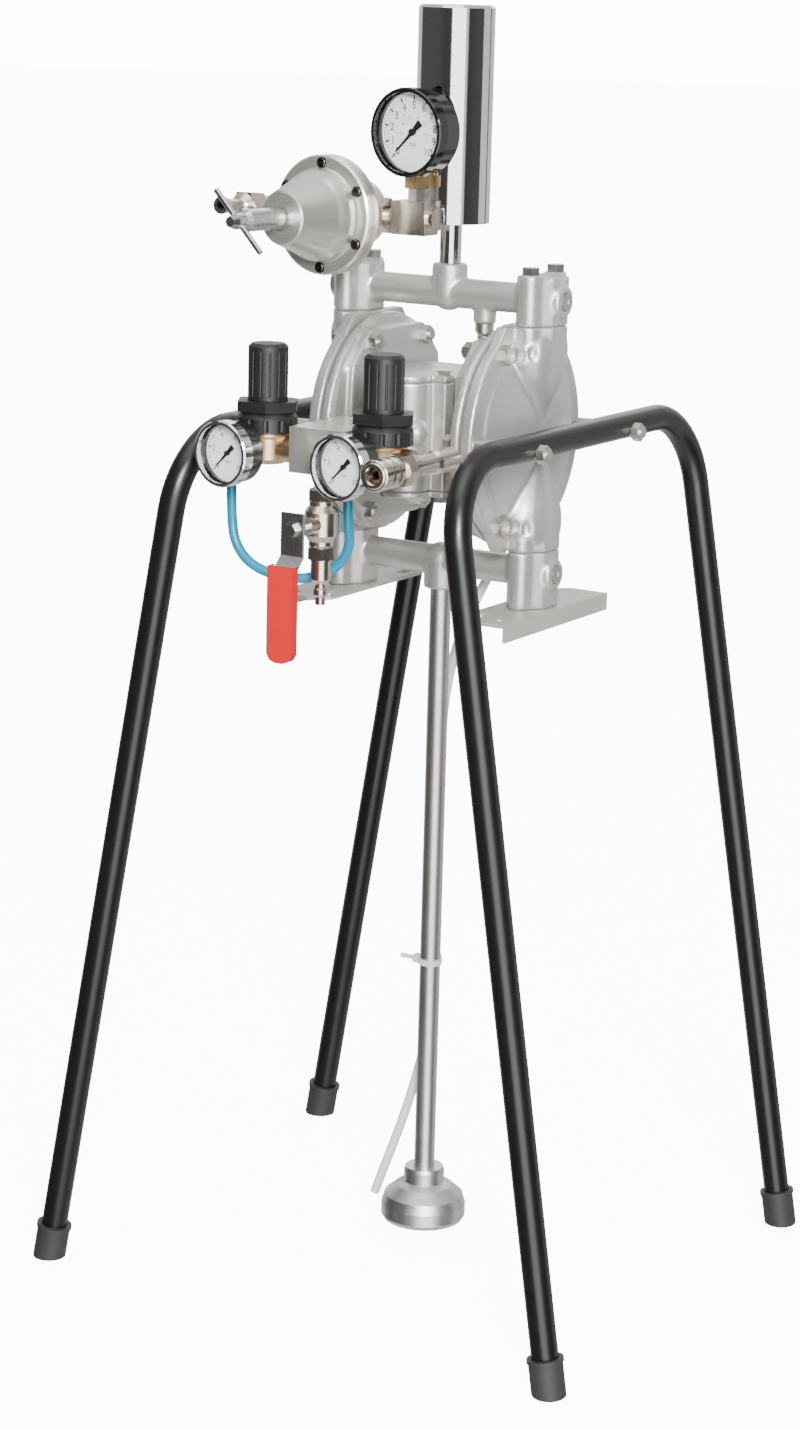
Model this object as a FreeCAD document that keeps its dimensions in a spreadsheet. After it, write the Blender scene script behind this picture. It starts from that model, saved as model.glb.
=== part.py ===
import FreeCAD, Part
import math
import os
import Sketcher

# Air-operated double diaphragm pump on a bent-tube stand, with its air controls, fluid regulator and damper.
# Millimetres. X runs along the pump from chamber to chamber, -Y is the front, Z is up from the floor.

os.makedirs("parts", exist_ok=True)
doc = FreeCAD.newDocument("diaphragm_pump")
Vector = FreeCAD.Vector

DIMENSIONS = {
    # Stand
    "tube_od": 21.3,
    "tube_wall": 2.0,
    "bar_level": 696.7,
    "bar_offset": 118.5,
    "bar_reach": 194.7,
    "foot_offset": 236.7,
    "foot_reach": 208.0,
    "bend_radius": 62.0,
    "cap_od": 27.0,
    "cap_length": 32.0,
    "cap_floor": 6.0,
    "cap_sink": 2.4,
    # Pump head
    "axis_level": 692.5,
    "flange_radius": 88.0,
    "air_flange": 8.0,
    "cover_flange": 10.0,
    "chamber_reach": 55.5,
    "diaphragm_thickness": 1.6,
    "bolt_circle": 78.0,
    "bolt_size": 8.0,
    "bolt_flats": 13.0,
    "head_height": 5.5,
    "hole_clearance": 0.3,
    "port_offset": 84.0,
    "manifold_rise": 107.5,
    "manifold_od": 24.0,
    "manifold_bore": 15.0,
    "joint_height": 88.5,
    "block_end": 17.5,
    "ear_spacing": 20.0,
    "ear_radius": 9.0,
    "seat_od": 24.0,
    "seat_id": 12.5,
    "seat_height": 4.0,
    "ball_size": 16.0,
    "ball_guide": 20.0,
    "plug_radius": 7.0,
    "boss_radius": 13.0,
    "shaft_size": 14.0,
    "valve_radius": 19.0,
    "valve_height": 96.0,
    "valve_front": 58.0,
    "center_half_depth": 40.0,
    "valve_half_width": 31.0,
    "lower_block_depth": 46.0,
    "spool_size": 18.0,
    "spool_stroke": 8.0,
    # Base plates
    "plate_thickness": 3.0,
    "plate_edge": 108.0,
    "plate_inner": 60.0,
    "plate_half_length": 84.0,
    "plate_lip": 14.0,
    # Damper and suction
    "riser_od": 17.2,
    "pipe_bore": 12.0,
    "damper_radius": 30.0,
    "damper_bottom": 855.0,
    "damper_top": 1022.0,
    "suction_od": 17.2,
    "strainer_radius": 35.5,
    "strainer_height": 40.0,
    "strainer_bottom": 20.0,
    # Air controls
    "regulator_pitch": 104.5,
    "regulator_x": 32.0,
    "regulator_y": -148.0,
    "port_level": 686.5,
    "body_reach": 28.0,
    "knob_radius": 15.5,
    "knob_height": 43.5,
    "small_gauge_radius": 25.5,
    "small_gauge_depth": 24.0,
    "block_height": 35.5,
    "block_drop": 15.5,
    "block_rear": -86.0,
    "block_front": -160.0,
    "coupler_radius": 12.0,
    "coupler_length": 111.0,
    # Fluid regulator
    "fluid_x": -68.0,
    "fluid_y": -40.0,
    "fluid_level": 860.0,
    "fluid_radius": 46.5,
    "screw_radius": 8.5,
    "top_gauge_radius": 34.0,
    "top_gauge_depth": 30.0,
    # Hoses
    "hose_od": 8.0,
}

sheet = doc.addObject("Spreadsheet::Sheet", "sizes")
for row, (alias, value) in enumerate(DIMENSIONS.items(), start=1):
    sheet.set(f"A{row}", alias)
    sheet.set(f"B{row}", str(value))
    sheet.setAlias(f"B{row}", alias)
doc.recompute()


class Size:
    """A length with its value now and the sheet expression that keeps it current."""

    def __init__(self, value, text):
        self.value = float(value)
        self.text = text

    def combine(self, other, sign, swapped=False):
        other = as_size(other)
        left, right = (other, self) if swapped else (self, other)
        results = {
            "+": lambda: left.value + right.value,
            "-": lambda: left.value - right.value,
            "*": lambda: left.value * right.value,
            "/": lambda: left.value / right.value,
        }
        return Size(results[sign](), f"({left.text} {sign} {right.text})")

    def __add__(self, other):
        return self.combine(other, "+")

    def __radd__(self, other):
        return self.combine(other, "+", swapped=True)

    def __sub__(self, other):
        return self.combine(other, "-")

    def __rsub__(self, other):
        return self.combine(other, "-", swapped=True)

    def __mul__(self, other):
        return self.combine(other, "*")

    def __rmul__(self, other):
        return self.combine(other, "*", swapped=True)

    def __truediv__(self, other):
        return self.combine(other, "/")

    def __neg__(self):
        return self.combine(0, "-", swapped=True)


def as_size(value):
    return value if isinstance(value, Size) else Size(value, f"({float(value):.9f})")


def root(size):
    """The square root of a size."""
    return Size(math.sqrt(size.value), f"sqrt({size.text})")


class Sheet:
    """Reads a dimension of the sheet by its alias."""

    def __getattr__(self, alias):
        return Size(float(sheet.get(alias)), f"sizes.{alias}")


S = Sheet()
nodes = {}
X_AXIS = Vector(1, 0, 0)
Y_AXIS = Vector(0, 1, 0)
Z_AXIS = Vector(0, 0, 1)
FRONT = Vector(0, -1, 0)
DOWN = Vector(0, 0, -1)


def bind(item, path, value):
    """Ties one property of an object to its size."""
    item.setExpression(path, as_size(value).text)


def place(item, x=0, y=0, z=0, axis=Z_AXIS, spin=0):
    """Puts an object's origin at x, y, z, with its own Z along axis after a turn of spin degrees about it."""
    turn = FreeCAD.Rotation(Z_AXIS, axis).multiply(FreeCAD.Rotation(Z_AXIS, spin))
    base = Vector(as_size(x).value, as_size(y).value, as_size(z).value)
    item.Placement = FreeCAD.Placement(base, turn)
    for letter, value in zip("xyz", (x, y, z)):
        bind(item, f"Placement.Base.{letter}", value)
    return item


def node(name, item):
    """Names the finished sub-part that is exported."""
    item.Label = name
    nodes[name] = item
    return item


def origin_plane(body, role):
    return [feature for feature in body.Origin.OriginFeatures if feature.Role == role][0]


def outline_sketch(body, name, role, corners, offset=0):
    """A closed outline of straight edges with every corner tied to the sheet."""
    sketch = body.newObject("Sketcher::SketchObject", name)
    sketch.AttachmentSupport = [(origin_plane(body, role), "")]
    sketch.MapMode = "FlatFace"
    if offset != 0:
        bind(sketch, "AttachmentOffset.Base.z", offset)
    count = len(corners)
    points = [Vector(as_size(u).value, as_size(v).value, 0) for u, v in corners]
    for index in range(count):
        sketch.addGeometry(Part.LineSegment(points[index], points[(index + 1) % count]), False)
    for index in range(count):
        sketch.addConstraint(Sketcher.Constraint("Coincident", index, 2, (index + 1) % count, 1))
    for index, corner in enumerate(corners):
        for kind, value in zip(("DistanceX", "DistanceY"), corner):
            number = sketch.addConstraint(Sketcher.Constraint(kind, -1, 1, index, 1, as_size(value).value))
            if isinstance(value, Size):
                bind(sketch, f"Constraints[{number}]", value)
    return sketch


def turned(name, profile):
    """A body of revolution about its own Z, from (radius, height) corners."""
    body = doc.addObject("PartDesign::Body", name)
    sketch = outline_sketch(body, f"{name}_profile", "XZ_Plane", profile)
    revolution = body.newObject("PartDesign::Revolution", f"{name}_turn")
    revolution.Profile = sketch
    revolution.ReferenceAxis = (sketch, ["V_Axis"])
    revolution.Angle = 360
    return body


def padded(name, outline, length, role="XY_Plane", symmetric=False):
    """A body with one straight pad of an outline."""
    body = doc.addObject("PartDesign::Body", name)
    sketch = outline_sketch(body, f"{name}_outline", role, outline)
    pad = body.newObject("PartDesign::Pad", f"{name}_pad")
    pad.Profile = sketch
    pad.Midplane = symmetric
    bind(pad, "Length", length)
    return body


def rod(name, radius, height, **at):
    item = doc.addObject("Part::Cylinder", name)
    bind(item, "Radius", radius)
    bind(item, "Height", height)
    return place(item, **at)


def bar(name, length, width, height, **at):
    item = doc.addObject("Part::Box", name)
    bind(item, "Length", length)
    bind(item, "Width", width)
    bind(item, "Height", height)
    return place(item, **at)


def hexagon(flats, turn=0):
    """Corners of a hexagon of the given width across its flats."""
    radius = as_size(flats) / math.sqrt(3)
    angles = [math.radians(60 * step + turn) for step in range(6)]
    return [(radius * math.cos(angle), radius * math.sin(angle)) for angle in angles]


def joined(name, *items):
    item = doc.addObject("Part::MultiFuse", name)
    item.Shapes = list(items)
    return item


def cut(name, base, *tools):
    item = doc.addObject("Part::Cut", name)
    item.Base = base
    item.Tool = tools[0] if len(tools) == 1 else joined(f"{name}_tools", *tools)
    return item


def mirrored(name, source):
    """The same piece on the other side of the pump."""
    item = doc.addObject("Part::Mirroring", name)
    item.Source = source
    item.Normal = X_AXIS
    item.Base = Vector(0, 0, 0)
    return item


def copies(name, source, places):
    """A group of separate equal pieces, each at a place: a dictionary for place()."""
    links = []
    for index, at in enumerate(places):
        link = doc.addObject("App::Link", f"{name}_{index + 1}")
        link.LinkedObject = source
        links.append(place(link, **at))
    group = doc.addObject("Part::Compound", name)
    group.Links = links
    return group


def pieces(name, items):
    """A group of separate pieces that share one node."""
    group = doc.addObject("Part::Compound", name)
    group.Links = list(items)
    return group


def hex_bolt(name, size, flats, head, shank):
    """A hex-head bolt with its head's underside at the origin and its shank down its own -Z."""
    top = padded(f"{name}_head", hexagon(flats), head)
    return joined(name, top, rod(f"{name}_shank", size / 2, shank, axis=DOWN))


# Stand: two hollow inverted U frames
def stand_frame(name, side):
    """One bent tube. Its own X runs along the bar, its own Y down the slanted plane of the legs."""
    lean = Vector(side * (S.foot_offset - S.bar_offset).value, 0, -S.bar_level.value)
    drop = root((S.foot_offset - S.bar_offset) * (S.foot_offset - S.bar_offset) + S.bar_level * S.bar_level)
    splay = math.atan2((S.foot_reach - S.bar_reach).value, drop.value)
    tangent = S.bend_radius * math.tan(math.pi / 4 - splay / 2)
    leg_start = (S.bar_reach + tangent * math.sin(splay), tangent * math.cos(splay))
    leg_length = root((S.foot_reach - S.bar_reach) * (S.foot_reach - S.bar_reach) + drop * drop)
    end = leg_length - (S.cap_floor - S.cap_sink)
    leg_end = (S.bar_reach + end * math.sin(splay), end * math.cos(splay))
    body = doc.addObject("PartDesign::Body", name)
    path = body.newObject("Sketcher::SketchObject", f"{name}_path")
    path.AttachmentSupport = [(origin_plane(body, "XY_Plane"), "")]
    path.MapMode = "FlatFace"
    bar_end = Vector((S.bar_reach - tangent).value, 0, 0)
    bend_center = Vector(bar_end.x, S.bend_radius.value, 0)
    leg_top = Vector(leg_start[0].value, leg_start[1].value, 0)
    leg_foot = Vector(leg_end[0].value, leg_end[1].value, 0)
    middle_angle = math.radians(-90 + 45 - math.degrees(splay) / 2)
    radius = S.bend_radius.value
    middle = bend_center + Vector(radius * math.cos(middle_angle), radius * math.sin(middle_angle), 0)
    path.addGeometry(Part.LineSegment(Vector(0, 0, 0), bar_end), False)
    path.addGeometry(Part.Arc(bar_end, middle, leg_top), False)
    path.addGeometry(Part.LineSegment(leg_top, leg_foot), False)
    section = body.newObject("Sketcher::SketchObject", f"{name}_section")
    section.AttachmentSupport = [(origin_plane(body, "YZ_Plane"), "")]
    section.MapMode = "FlatFace"
    for index, ring in enumerate((S.tube_od / 2, S.tube_od / 2 - S.tube_wall)):
        section.addGeometry(Part.Circle(Vector(0, 0, 0), Z_AXIS, ring.value), False)
        section.addConstraint(Sketcher.Constraint("Coincident", index, 3, -1, 1))
        number = section.addConstraint(Sketcher.Constraint("Radius", index, ring.value))
        bind(section, f"Constraints[{number}]", ring)
    pipe = body.newObject("PartDesign::AdditivePipe", f"{name}_bend")
    pipe.Profile = section
    pipe.Spine = path
    doc.recompute()
    mirror = body.newObject("PartDesign::Mirrored", f"{name}_mirror")
    mirror.Originals = [pipe]
    mirror.MirrorPlane = (origin_plane(body, "YZ_Plane"), [""])
    body.Tip = mirror
    along = Vector(0, 1, 0)
    down = lean.normalize()
    turn = FreeCAD.Rotation(along, down, along.cross(down), "XYZ")
    body.Placement = FreeCAD.Placement(Vector(side * S.bar_offset.value, 0, S.bar_level.value), turn)
    holes = []
    for end_sign in (-1, 1):
        holes.append(rod(f"{name}_hole", (S.bolt_size + S.hole_clearance) / 2, S.tube_od * 2,
                         x=side * S.bar_offset - S.tube_od, y=end_sign * S.bolt_circle, z=S.axis_level,
                         axis=X_AXIS))
    return node(f"{name}_frame", cut(f"{name}_drilled", body, *holes)), leg_foot, turn


right_frame, leg_foot, right_turn = stand_frame("right_leg", 1)
left_frame, leg_foot, left_turn = stand_frame("left_leg", -1)

cap_inner = S.tube_od / 2 + 0.05
cap_profile = [
    (0, 0), (S.cap_od / 2 - 1.5, 0), (S.cap_od / 2, 1.5), (S.cap_od / 2, S.cap_length - 3),
    (S.cap_od / 2 + 1, S.cap_length - 3), (S.cap_od / 2 + 1, S.cap_length), (cap_inner, S.cap_length),
    (cap_inner, S.cap_floor), (0, S.cap_floor),
]
cap_pieces = []
for side, turn in ((1, right_turn), (-1, left_turn)):
    for end_sign in (-1, 1):
        splay = math.atan2(leg_foot.x - S.bar_reach.value, leg_foot.y)
        leg = Vector(end_sign * math.sin(splay), math.cos(splay), 0)
        tube_end = Vector(end_sign * leg_foot.x, leg_foot.y, 0)
        seat = tube_end + leg * S.cap_floor.value
        bar_center = Vector(side * S.bar_offset.value, 0, S.bar_level.value)
        spot = bar_center + turn.multVec(seat)
        blank = turned(f"foot_cap_blank_{len(cap_pieces) + 1}", cap_profile)
        blank.Placement = FreeCAD.Placement(spot, FreeCAD.Rotation(Z_AXIS, turn.multVec(leg).negative()))
        floor = bar(f"floor_{len(cap_pieces) + 1}", S.cap_od * 3, S.cap_od * 3, S.cap_length,
                    x=spot.x - S.cap_od * 1.5, y=spot.y - S.cap_od * 1.5, z=-S.cap_length)
        cap_pieces.append(cut(f"foot_cap_{len(cap_pieces) + 1}", blank, floor))
node("foot_caps", pieces("foot_cap_set", cap_pieces))

# Long bolts through bar, spacer and clamp flange
spot_depth = 0.3
flange_face = S.chamber_reach + S.air_flange + S.diaphragm_thickness / 2 + S.cover_flange - spot_depth
ring_back = S.chamber_reach - 3
bolt_end = S.bar_offset + S.tube_od / 2 + 9
long_bolt = hex_bolt("long_bolt", S.bolt_size, S.bolt_flats, S.head_height, bolt_end - ring_back)
spacer = turned("spacer", [
    ((S.bolt_size + S.hole_clearance) / 2, 0), (S.bolt_size - 1, 0),
    (S.bolt_size - 1, S.bar_offset - flange_face), ((S.bolt_size + S.hole_clearance) / 2,
                                                     S.bar_offset - flange_face),
])
nut_blank = padded("nut_blank", hexagon(S.bolt_flats), S.bolt_size * 0.8)
nut = cut("nut", nut_blank, rod("nut_bore", S.bolt_size / 2 + 0.03, S.bolt_size))
stand_points = [(side, end_sign) for side in (-1, 1) for end_sign in (-1, 1)]
frame_bolts = copies("frame_bolt_set", long_bolt, [
    dict(x=side * ring_back, y=end_sign * S.bolt_circle, z=S.axis_level, axis=X_AXIS * -side)
    for side, end_sign in stand_points])
frame_nuts = copies("frame_nut_set", nut, [
    dict(x=side * (S.bar_offset + S.tube_od / 2), y=end_sign * S.bolt_circle, z=S.axis_level,
         axis=X_AXIS * side)
    for side, end_sign in stand_points])
spacers = copies("spacer_blanks", spacer, [
    dict(x=side * flange_face, y=end_sign * S.bolt_circle, z=S.axis_level, axis=X_AXIS * side)
    for side, end_sign in stand_points])
bars = [rod(f"bar_{side}", S.tube_od / 2, S.bar_reach, x=side * S.bar_offset, y=-S.bar_reach / 2,
            z=S.bar_level, axis=Y_AXIS) for side in (-1, 1)]
node("frame_spacers", cut("spacer_set", spacers, *bars))

# Pump head: cast outer covers with teardrop passages
clamp_gap = S.diaphragm_thickness / 2
clamp_plane = S.chamber_reach + S.air_flange
cover_face = clamp_plane + clamp_gap
cover_bolt_face = cover_face + S.cover_flange - spot_depth
port_radius = S.manifold_bore / 2
guide_radius = S.ball_guide / 2
bolt_hole = (S.bolt_size + S.hole_clearance) / 2
neck_height = 11
block_outline = [
    (S.port_offset - S.block_end, -11), (S.port_offset - S.ear_radius, -S.ear_spacing),
    (S.port_offset + S.ear_radius, -S.ear_spacing), (S.port_offset + S.block_end, -11),
    (S.port_offset + S.block_end, 11), (S.port_offset + S.ear_radius, S.ear_spacing),
    (S.port_offset - S.ear_radius, S.ear_spacing), (S.port_offset - S.block_end, 11),
]


def oblong(name, height, low, side=1):
    """A block round one port, with a round ear for a bolt at each end."""
    core = place(padded(f"{name}_core", block_outline, height), z=low, spin=0 if side > 0 else 180)
    ears = [rod(f"{name}_ear", S.ear_radius, height, x=side * S.port_offset, y=end_sign * S.ear_spacing,
                z=low) for end_sign in (-1, 1)]
    return joined(name, core, *ears)


dome = turned("cover_dome", [
    (0, 0), (S.flange_radius, 0), (S.flange_radius, S.cover_flange - 1.5),
    (S.flange_radius - 1.5, S.cover_flange), (S.flange_radius - 15, S.cover_flange),
    (S.flange_radius - 18, S.cover_flange + 3), (60, S.cover_flange + 6), (40, S.cover_flange + 10.5),
    (18, S.cover_flange + 13), (0, S.cover_flange + 13.5),
])
place(dome, x=cover_face, z=S.axis_level, axis=X_AXIS)

# Share of the neck's height, offset of the centre from the port line, half depth and half width
PASSAGE_STATIONS = [
    (0.95, -1.0, 17.5, 22.0), (0.89, -2.0, 20.0, 28.0), (0.80, -3.5, 22.5, 32.0), (0.68, -5.0, 23.5, 32.0),
    (0.55, -6.0, 23.0, 28.0), (0.42, -7.0, 20.5, 22.0), (0.29, -7.0, 16.5, 15.5), (0.17, -6.0, 12.0, 9.5),
    (0.08, -4.5, 8.0, 5.0),
]
RING_CORNERS = 20


def passage(name, direction):
    """One teardrop passage, lofted through oval rings from the port to the middle of the cover."""
    rings = []
    for index, (share, shift, depth, width) in enumerate(PASSAGE_STATIONS):
        ring = doc.addObject("Sketcher::SketchObject", f"{name}_ring_{index + 1}")
        angles = [2 * math.pi * (step + 0.5) / RING_CORNERS for step in range(RING_CORNERS)]
        corners = [Vector(depth * math.cos(angle), width * math.sin(angle), 0) for angle in angles]
        for step in range(RING_CORNERS):
            ring.addGeometry(Part.LineSegment(corners[step], corners[(step + 1) % RING_CORNERS]), False)
        level = S.axis_level + direction * share * S.joint_height
        rings.append(place(ring, x=S.port_offset + shift, z=level))
    loft = doc.addObject("Part::Loft", name)
    loft.Sections = rings
    loft.Solid = True
    loft.Ruled = True
    return loft


def neck(name, direction):
    """The pad that a manifold block is bolted to."""
    level = S.axis_level + S.joint_height - neck_height if direction > 0 else S.axis_level - S.joint_height
    web = padded(f"{name}_web", [
        (-58, direction * 62), (-37, direction * S.joint_height), (37, direction * S.joint_height),
        (58, direction * 62)], S.cover_flange, role="YZ_Plane")
    place(web, x=cover_face, z=S.axis_level)
    return joined(name, oblong(f"{name}_pad", neck_height, level), web)


cavity = turned("cover_cavity", [
    (0, -40), (S.flange_radius + 10, -40), (S.flange_radius + 10, 0), (S.flange_radius - 22, 0),
    (S.flange_radius - 24, 1), (50, 9), (30, 14), (0, 16),
])
place(cavity, x=cover_face, z=S.axis_level, axis=X_AXIS)
cover_tools = [cavity]
for direction in (1, -1):
    joint_level = S.axis_level + direction * S.joint_height
    inner_level = S.axis_level + direction * 46
    low = inner_level if direction > 0 else joint_level - 1
    cover_tools.append(rod("port_bore", port_radius, S.joint_height - 45, x=S.port_offset, z=low))
    cover_tools.append(rod("cross_port", 6.5, S.port_offset - 72, x=72, z=inner_level + direction * 8,
                           axis=X_AXIS))
    for end_sign in (-1, 1):
        cover_tools.append(rod("ear_hole", bolt_hole, 18, x=S.port_offset, y=end_sign * S.ear_spacing,
                               z=joint_level - (17 if direction > 0 else 1)))
        cover_tools.append(rod("core_dimple", 3.5, 10, x=S.port_offset + 8, y=end_sign * 27,
                               z=S.axis_level + direction * 69 - 5))
cover_tools.append(rod("ball_guide_bore", guide_radius, 26, x=S.port_offset,
                       z=S.axis_level - S.joint_height - 1))
clamp_angles = [math.radians(60 * step) for step in range(6)]
clamp_spots = [(S.bolt_circle * math.cos(angle), S.bolt_circle * math.sin(angle)) for angle in clamp_angles]
corner_spots = [spot for step, spot in enumerate(clamp_spots) if step not in (0, 3)]
for across, up in clamp_spots:
    cover_tools.append(rod("clamp_hole", bolt_hole, 40, x=cover_face - 5, y=across, z=S.axis_level + up,
                           axis=X_AXIS))
    cover_tools.append(rod("head_pocket", S.bolt_flats / 2 + 3, 60, x=cover_bolt_face, y=across,
                           z=S.axis_level + up, axis=X_AXIS))
cover_blank = joined("cover_blank", dome, passage("upper_passage", 1), passage("lower_passage", -1),
                     neck("upper_neck", 1), neck("lower_neck", -1))
right_cover = cut("cover_casting", cover_blank, *cover_tools)
node("outer_covers", pieces("outer_cover_pair", [right_cover, mirrored("outer_cover_mirror", right_cover)]))

# Air chambers: a round clamp flange on an eight-sided plate
ring = turned("air_flange_ring", [
    (46, -3), (S.flange_radius - 4, -3), (S.flange_radius - 4, 0), (S.flange_radius, 0),
    (S.flange_radius, S.air_flange - clamp_gap), (S.flange_radius - 22, S.air_flange - clamp_gap),
    (48, -2.5),
])
place(ring, x=S.chamber_reach, z=S.axis_level, axis=X_AXIS)
plate_corners = [(41, 77), (66, 50), (68, 20), (68, -20), (66, -50), (41, -77)]
plate_outline = plate_corners + [(-across, -up) for across, up in plate_corners]
plate_depth = 9.5
plate = padded("chamber_plate", plate_outline, plate_depth, role="YZ_Plane")
place(plate, x=S.chamber_reach - plate_depth, z=S.axis_level)
hub = rod("chamber_hub", 34, 12, x=S.chamber_reach - 12, z=S.axis_level, axis=X_AXIS)
chamber_tools = [
    turned("air_cavity", [(0, -4), (48, -4), (S.flange_radius - 24, S.air_flange - 3),
                          (S.flange_radius - 22, S.air_flange + 5), (0, S.air_flange + 5)]),
    rod("shaft_bore", S.shaft_size / 2 + 0.05, 60, x=S.chamber_reach - 30, z=S.axis_level, axis=X_AXIS),
]
place(chamber_tools[0], x=S.chamber_reach, z=S.axis_level, axis=X_AXIS)
for across, up in clamp_spots:
    chamber_tools.append(rod("chamber_hole", bolt_hole, 40, x=S.chamber_reach - 20, y=across,
                             z=S.axis_level + up, axis=X_AXIS))
right_chamber = cut("air_chamber_casting", joined("air_chamber_blank", ring, plate, hub), *chamber_tools)
left_chamber = mirrored("air_chamber_mirror", right_chamber)
node("air_chambers", pieces("air_chamber_pair", [right_chamber, left_chamber]))

plate_face = S.chamber_reach - plate_depth
clamp_bolt = hex_bolt("clamp_bolt", S.bolt_size, S.bolt_flats, S.head_height,
                      cover_bolt_face - plate_face + 9)
clamp_bolts = copies("clamp_bolt_set", clamp_bolt, [
    dict(x=side * cover_bolt_face, y=across, z=S.axis_level + up, axis=X_AXIS * side)
    for side in (-1, 1) for across, up in corner_spots])
clamp_nuts = copies("clamp_nut_set", nut, [
    dict(x=side * plate_face, y=across, z=S.axis_level + up, axis=X_AXIS * -side)
    for side in (-1, 1) for across, up in corner_spots])
node("hex_nuts", pieces("hex_nut_set", [frame_nuts, clamp_nuts]))

# Diaphragms, their plates and the shaft that joins them
web = S.diaphragm_thickness
diaphragm = turned("diaphragm_disc", [
    (S.shaft_size / 2 + 0.05, -web / 2), (44, -web / 2), (50, -web / 2 - 3), (58, -web / 2 - 3),
    (64, -web / 2), (S.flange_radius - 14, -web / 2), (S.flange_radius - 14, web / 2), (63, web / 2),
    (57.5, web / 2 - 3), (50.5, web / 2 - 3), (43.5, web / 2), (S.shaft_size / 2 + 0.05, web / 2),
])
place(diaphragm, x=clamp_plane, z=S.axis_level, axis=X_AXIS)
node("diaphragms", pieces("diaphragm_pair", [diaphragm, mirrored("diaphragm_mirror", diaphragm)]))
shaft_end = clamp_plane + 8.5
shaft = rod("shaft_rod", S.shaft_size / 2, shaft_end * 2, x=-shaft_end, z=S.axis_level, axis=X_AXIS)
disc = turned("diaphragm_plate", [
    (S.shaft_size / 2 + 0.05, 0), (42, 0), (42, 2), (38, 4), (16, 5), (S.shaft_size / 2 + 0.05, 5),
])
diaphragm_plates = copies("diaphragm_plate_set", disc, [
    dict(x=side * (clamp_plane + face * clamp_gap), z=S.axis_level, axis=X_AXIS * (side * face))
    for side in (-1, 1) for face in (-1, 1)])
node("diaphragm_shaft", pieces("shaft_and_plates", [shaft, diaphragm_plates]))

# Centre body, exhaust muffler and air valve
center_half = S.chamber_reach - 12
center_blank = bar("center_block", center_half * 2, S.center_half_depth * 2, 92, x=-center_half,
                   y=-S.center_half_depth, z=S.axis_level - 46)
center_bore = rod("center_bore", S.shaft_size / 2 + 0.05, center_half * 2 + 10, x=-center_half - 5,
                  z=S.axis_level, axis=X_AXIS)
hose_notch = bar("hose_notch", 30, S.center_half_depth + 10, 50, x=24, y=-8, z=S.axis_level + 5)
valve_bed = rod("valve_bed", S.valve_radius + 0.05, 100, y=-S.valve_front, z=S.axis_level - 50)
node("center_body", cut("center_casting", center_blank, center_bore, hose_notch, valve_bed))
muffler = bar("muffler_box", 70, 34, 42, x=-35, y=S.center_half_depth, z=S.axis_level - 4)
node("exhaust_muffler", muffler)

valve_half = S.valve_height / 2 - 5
flange_depth = 14
barrel = rod("valve_barrel", S.valve_radius, valve_half * 2, y=-S.valve_front, z=S.axis_level - valve_half)
mount = bar("valve_mount", S.valve_half_width * 2, flange_depth, valve_half * 2, x=-S.valve_half_width,
            y=-S.center_half_depth - flange_depth, z=S.axis_level - valve_half)
inlet_x = -10
inlet_boss = rod("inlet_boss", 11, -S.block_rear - S.valve_front, x=inlet_x, y=S.block_rear,
                 z=S.port_level, axis=Y_AXIS)
dome_boss = doc.addObject("Part::Sphere", "dome_boss")
bind(dome_boss, "Radius", 10)
place(dome_boss, x=14, y=-S.valve_front - 12, z=S.axis_level + 4)
spool_bore = rod("spool_bore", S.spool_size / 2 + 0.05, valve_half * 2 + 2, y=-S.valve_front,
                 z=S.axis_level - valve_half - 1)
air_way = rod("inlet_way", 5, -S.block_rear - S.valve_front, x=inlet_x, y=S.block_rear - 1,
              z=S.port_level, axis=Y_AXIS)
valve_bolt_x = S.valve_half_width - 6
valve_bolt_y = -S.center_half_depth - flange_depth / 2
stud_size = 6
stud_holes = [rod("stud_hole", stud_size / 2 + 0.15, 17, x=side * valve_bolt_x, y=valve_bolt_y, z=low)
              for side in (-1, 1) for low in (S.axis_level - valve_half - 1, S.axis_level + valve_half - 16)]
node("air_valve_housing", cut("valve_casting", joined("valve_blank", barrel, mount, inlet_boss, dome_boss),
                              spool_bore, air_way, *stud_holes))
cap_thickness = 5


def valve_cap(name, level):
    lid = joined(f"{name}_blank",
                 rod(f"{name}_disc", S.valve_radius, cap_thickness, y=-S.valve_front, z=level),
                 bar(f"{name}_bar", S.valve_half_width * 2, flange_depth, cap_thickness,
                     x=-S.valve_half_width, y=-S.center_half_depth - flange_depth, z=level))
    holes = [rod(f"{name}_hole", stud_size / 2 + 0.15, cap_thickness + 2, x=side * valve_bolt_x,
                 y=valve_bolt_y, z=level - 1) for side in (-1, 1)]
    return cut(name, lid, *holes)


valve_caps = [valve_cap("upper_valve_cap", S.axis_level + valve_half),
              valve_cap("lower_valve_cap", S.axis_level - valve_half - cap_thickness)]
node("valve_caps", pieces("valve_cap_set", valve_caps))
stud = hex_bolt("valve_stud", stud_size, 10, 4, cap_thickness + 14)
cap_face = valve_half + cap_thickness
node("valve_bolts", copies("valve_bolt_set", stud, [
    dict(x=side * valve_bolt_x, y=valve_bolt_y, z=S.axis_level + up * cap_face, axis=Z_AXIS * up)
    for side in (-1, 1) for up in (-1, 1)]))
spool_half = valve_half - S.spool_stroke / 2 - 0.5
land = S.spool_size / 2
waist = S.spool_size / 2 - 3
spool = turned("spool_rod", [
    (0, -spool_half), (land, -spool_half), (land, -26), (waist, -26), (waist, -6), (land, -6),
    (land, 6), (waist, 6), (waist, 26), (land, 26), (land, spool_half), (0, spool_half),
])
place(spool, y=-S.valve_front, z=S.axis_level - S.spool_stroke / 2)
node("valve_spool", spool)

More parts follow.
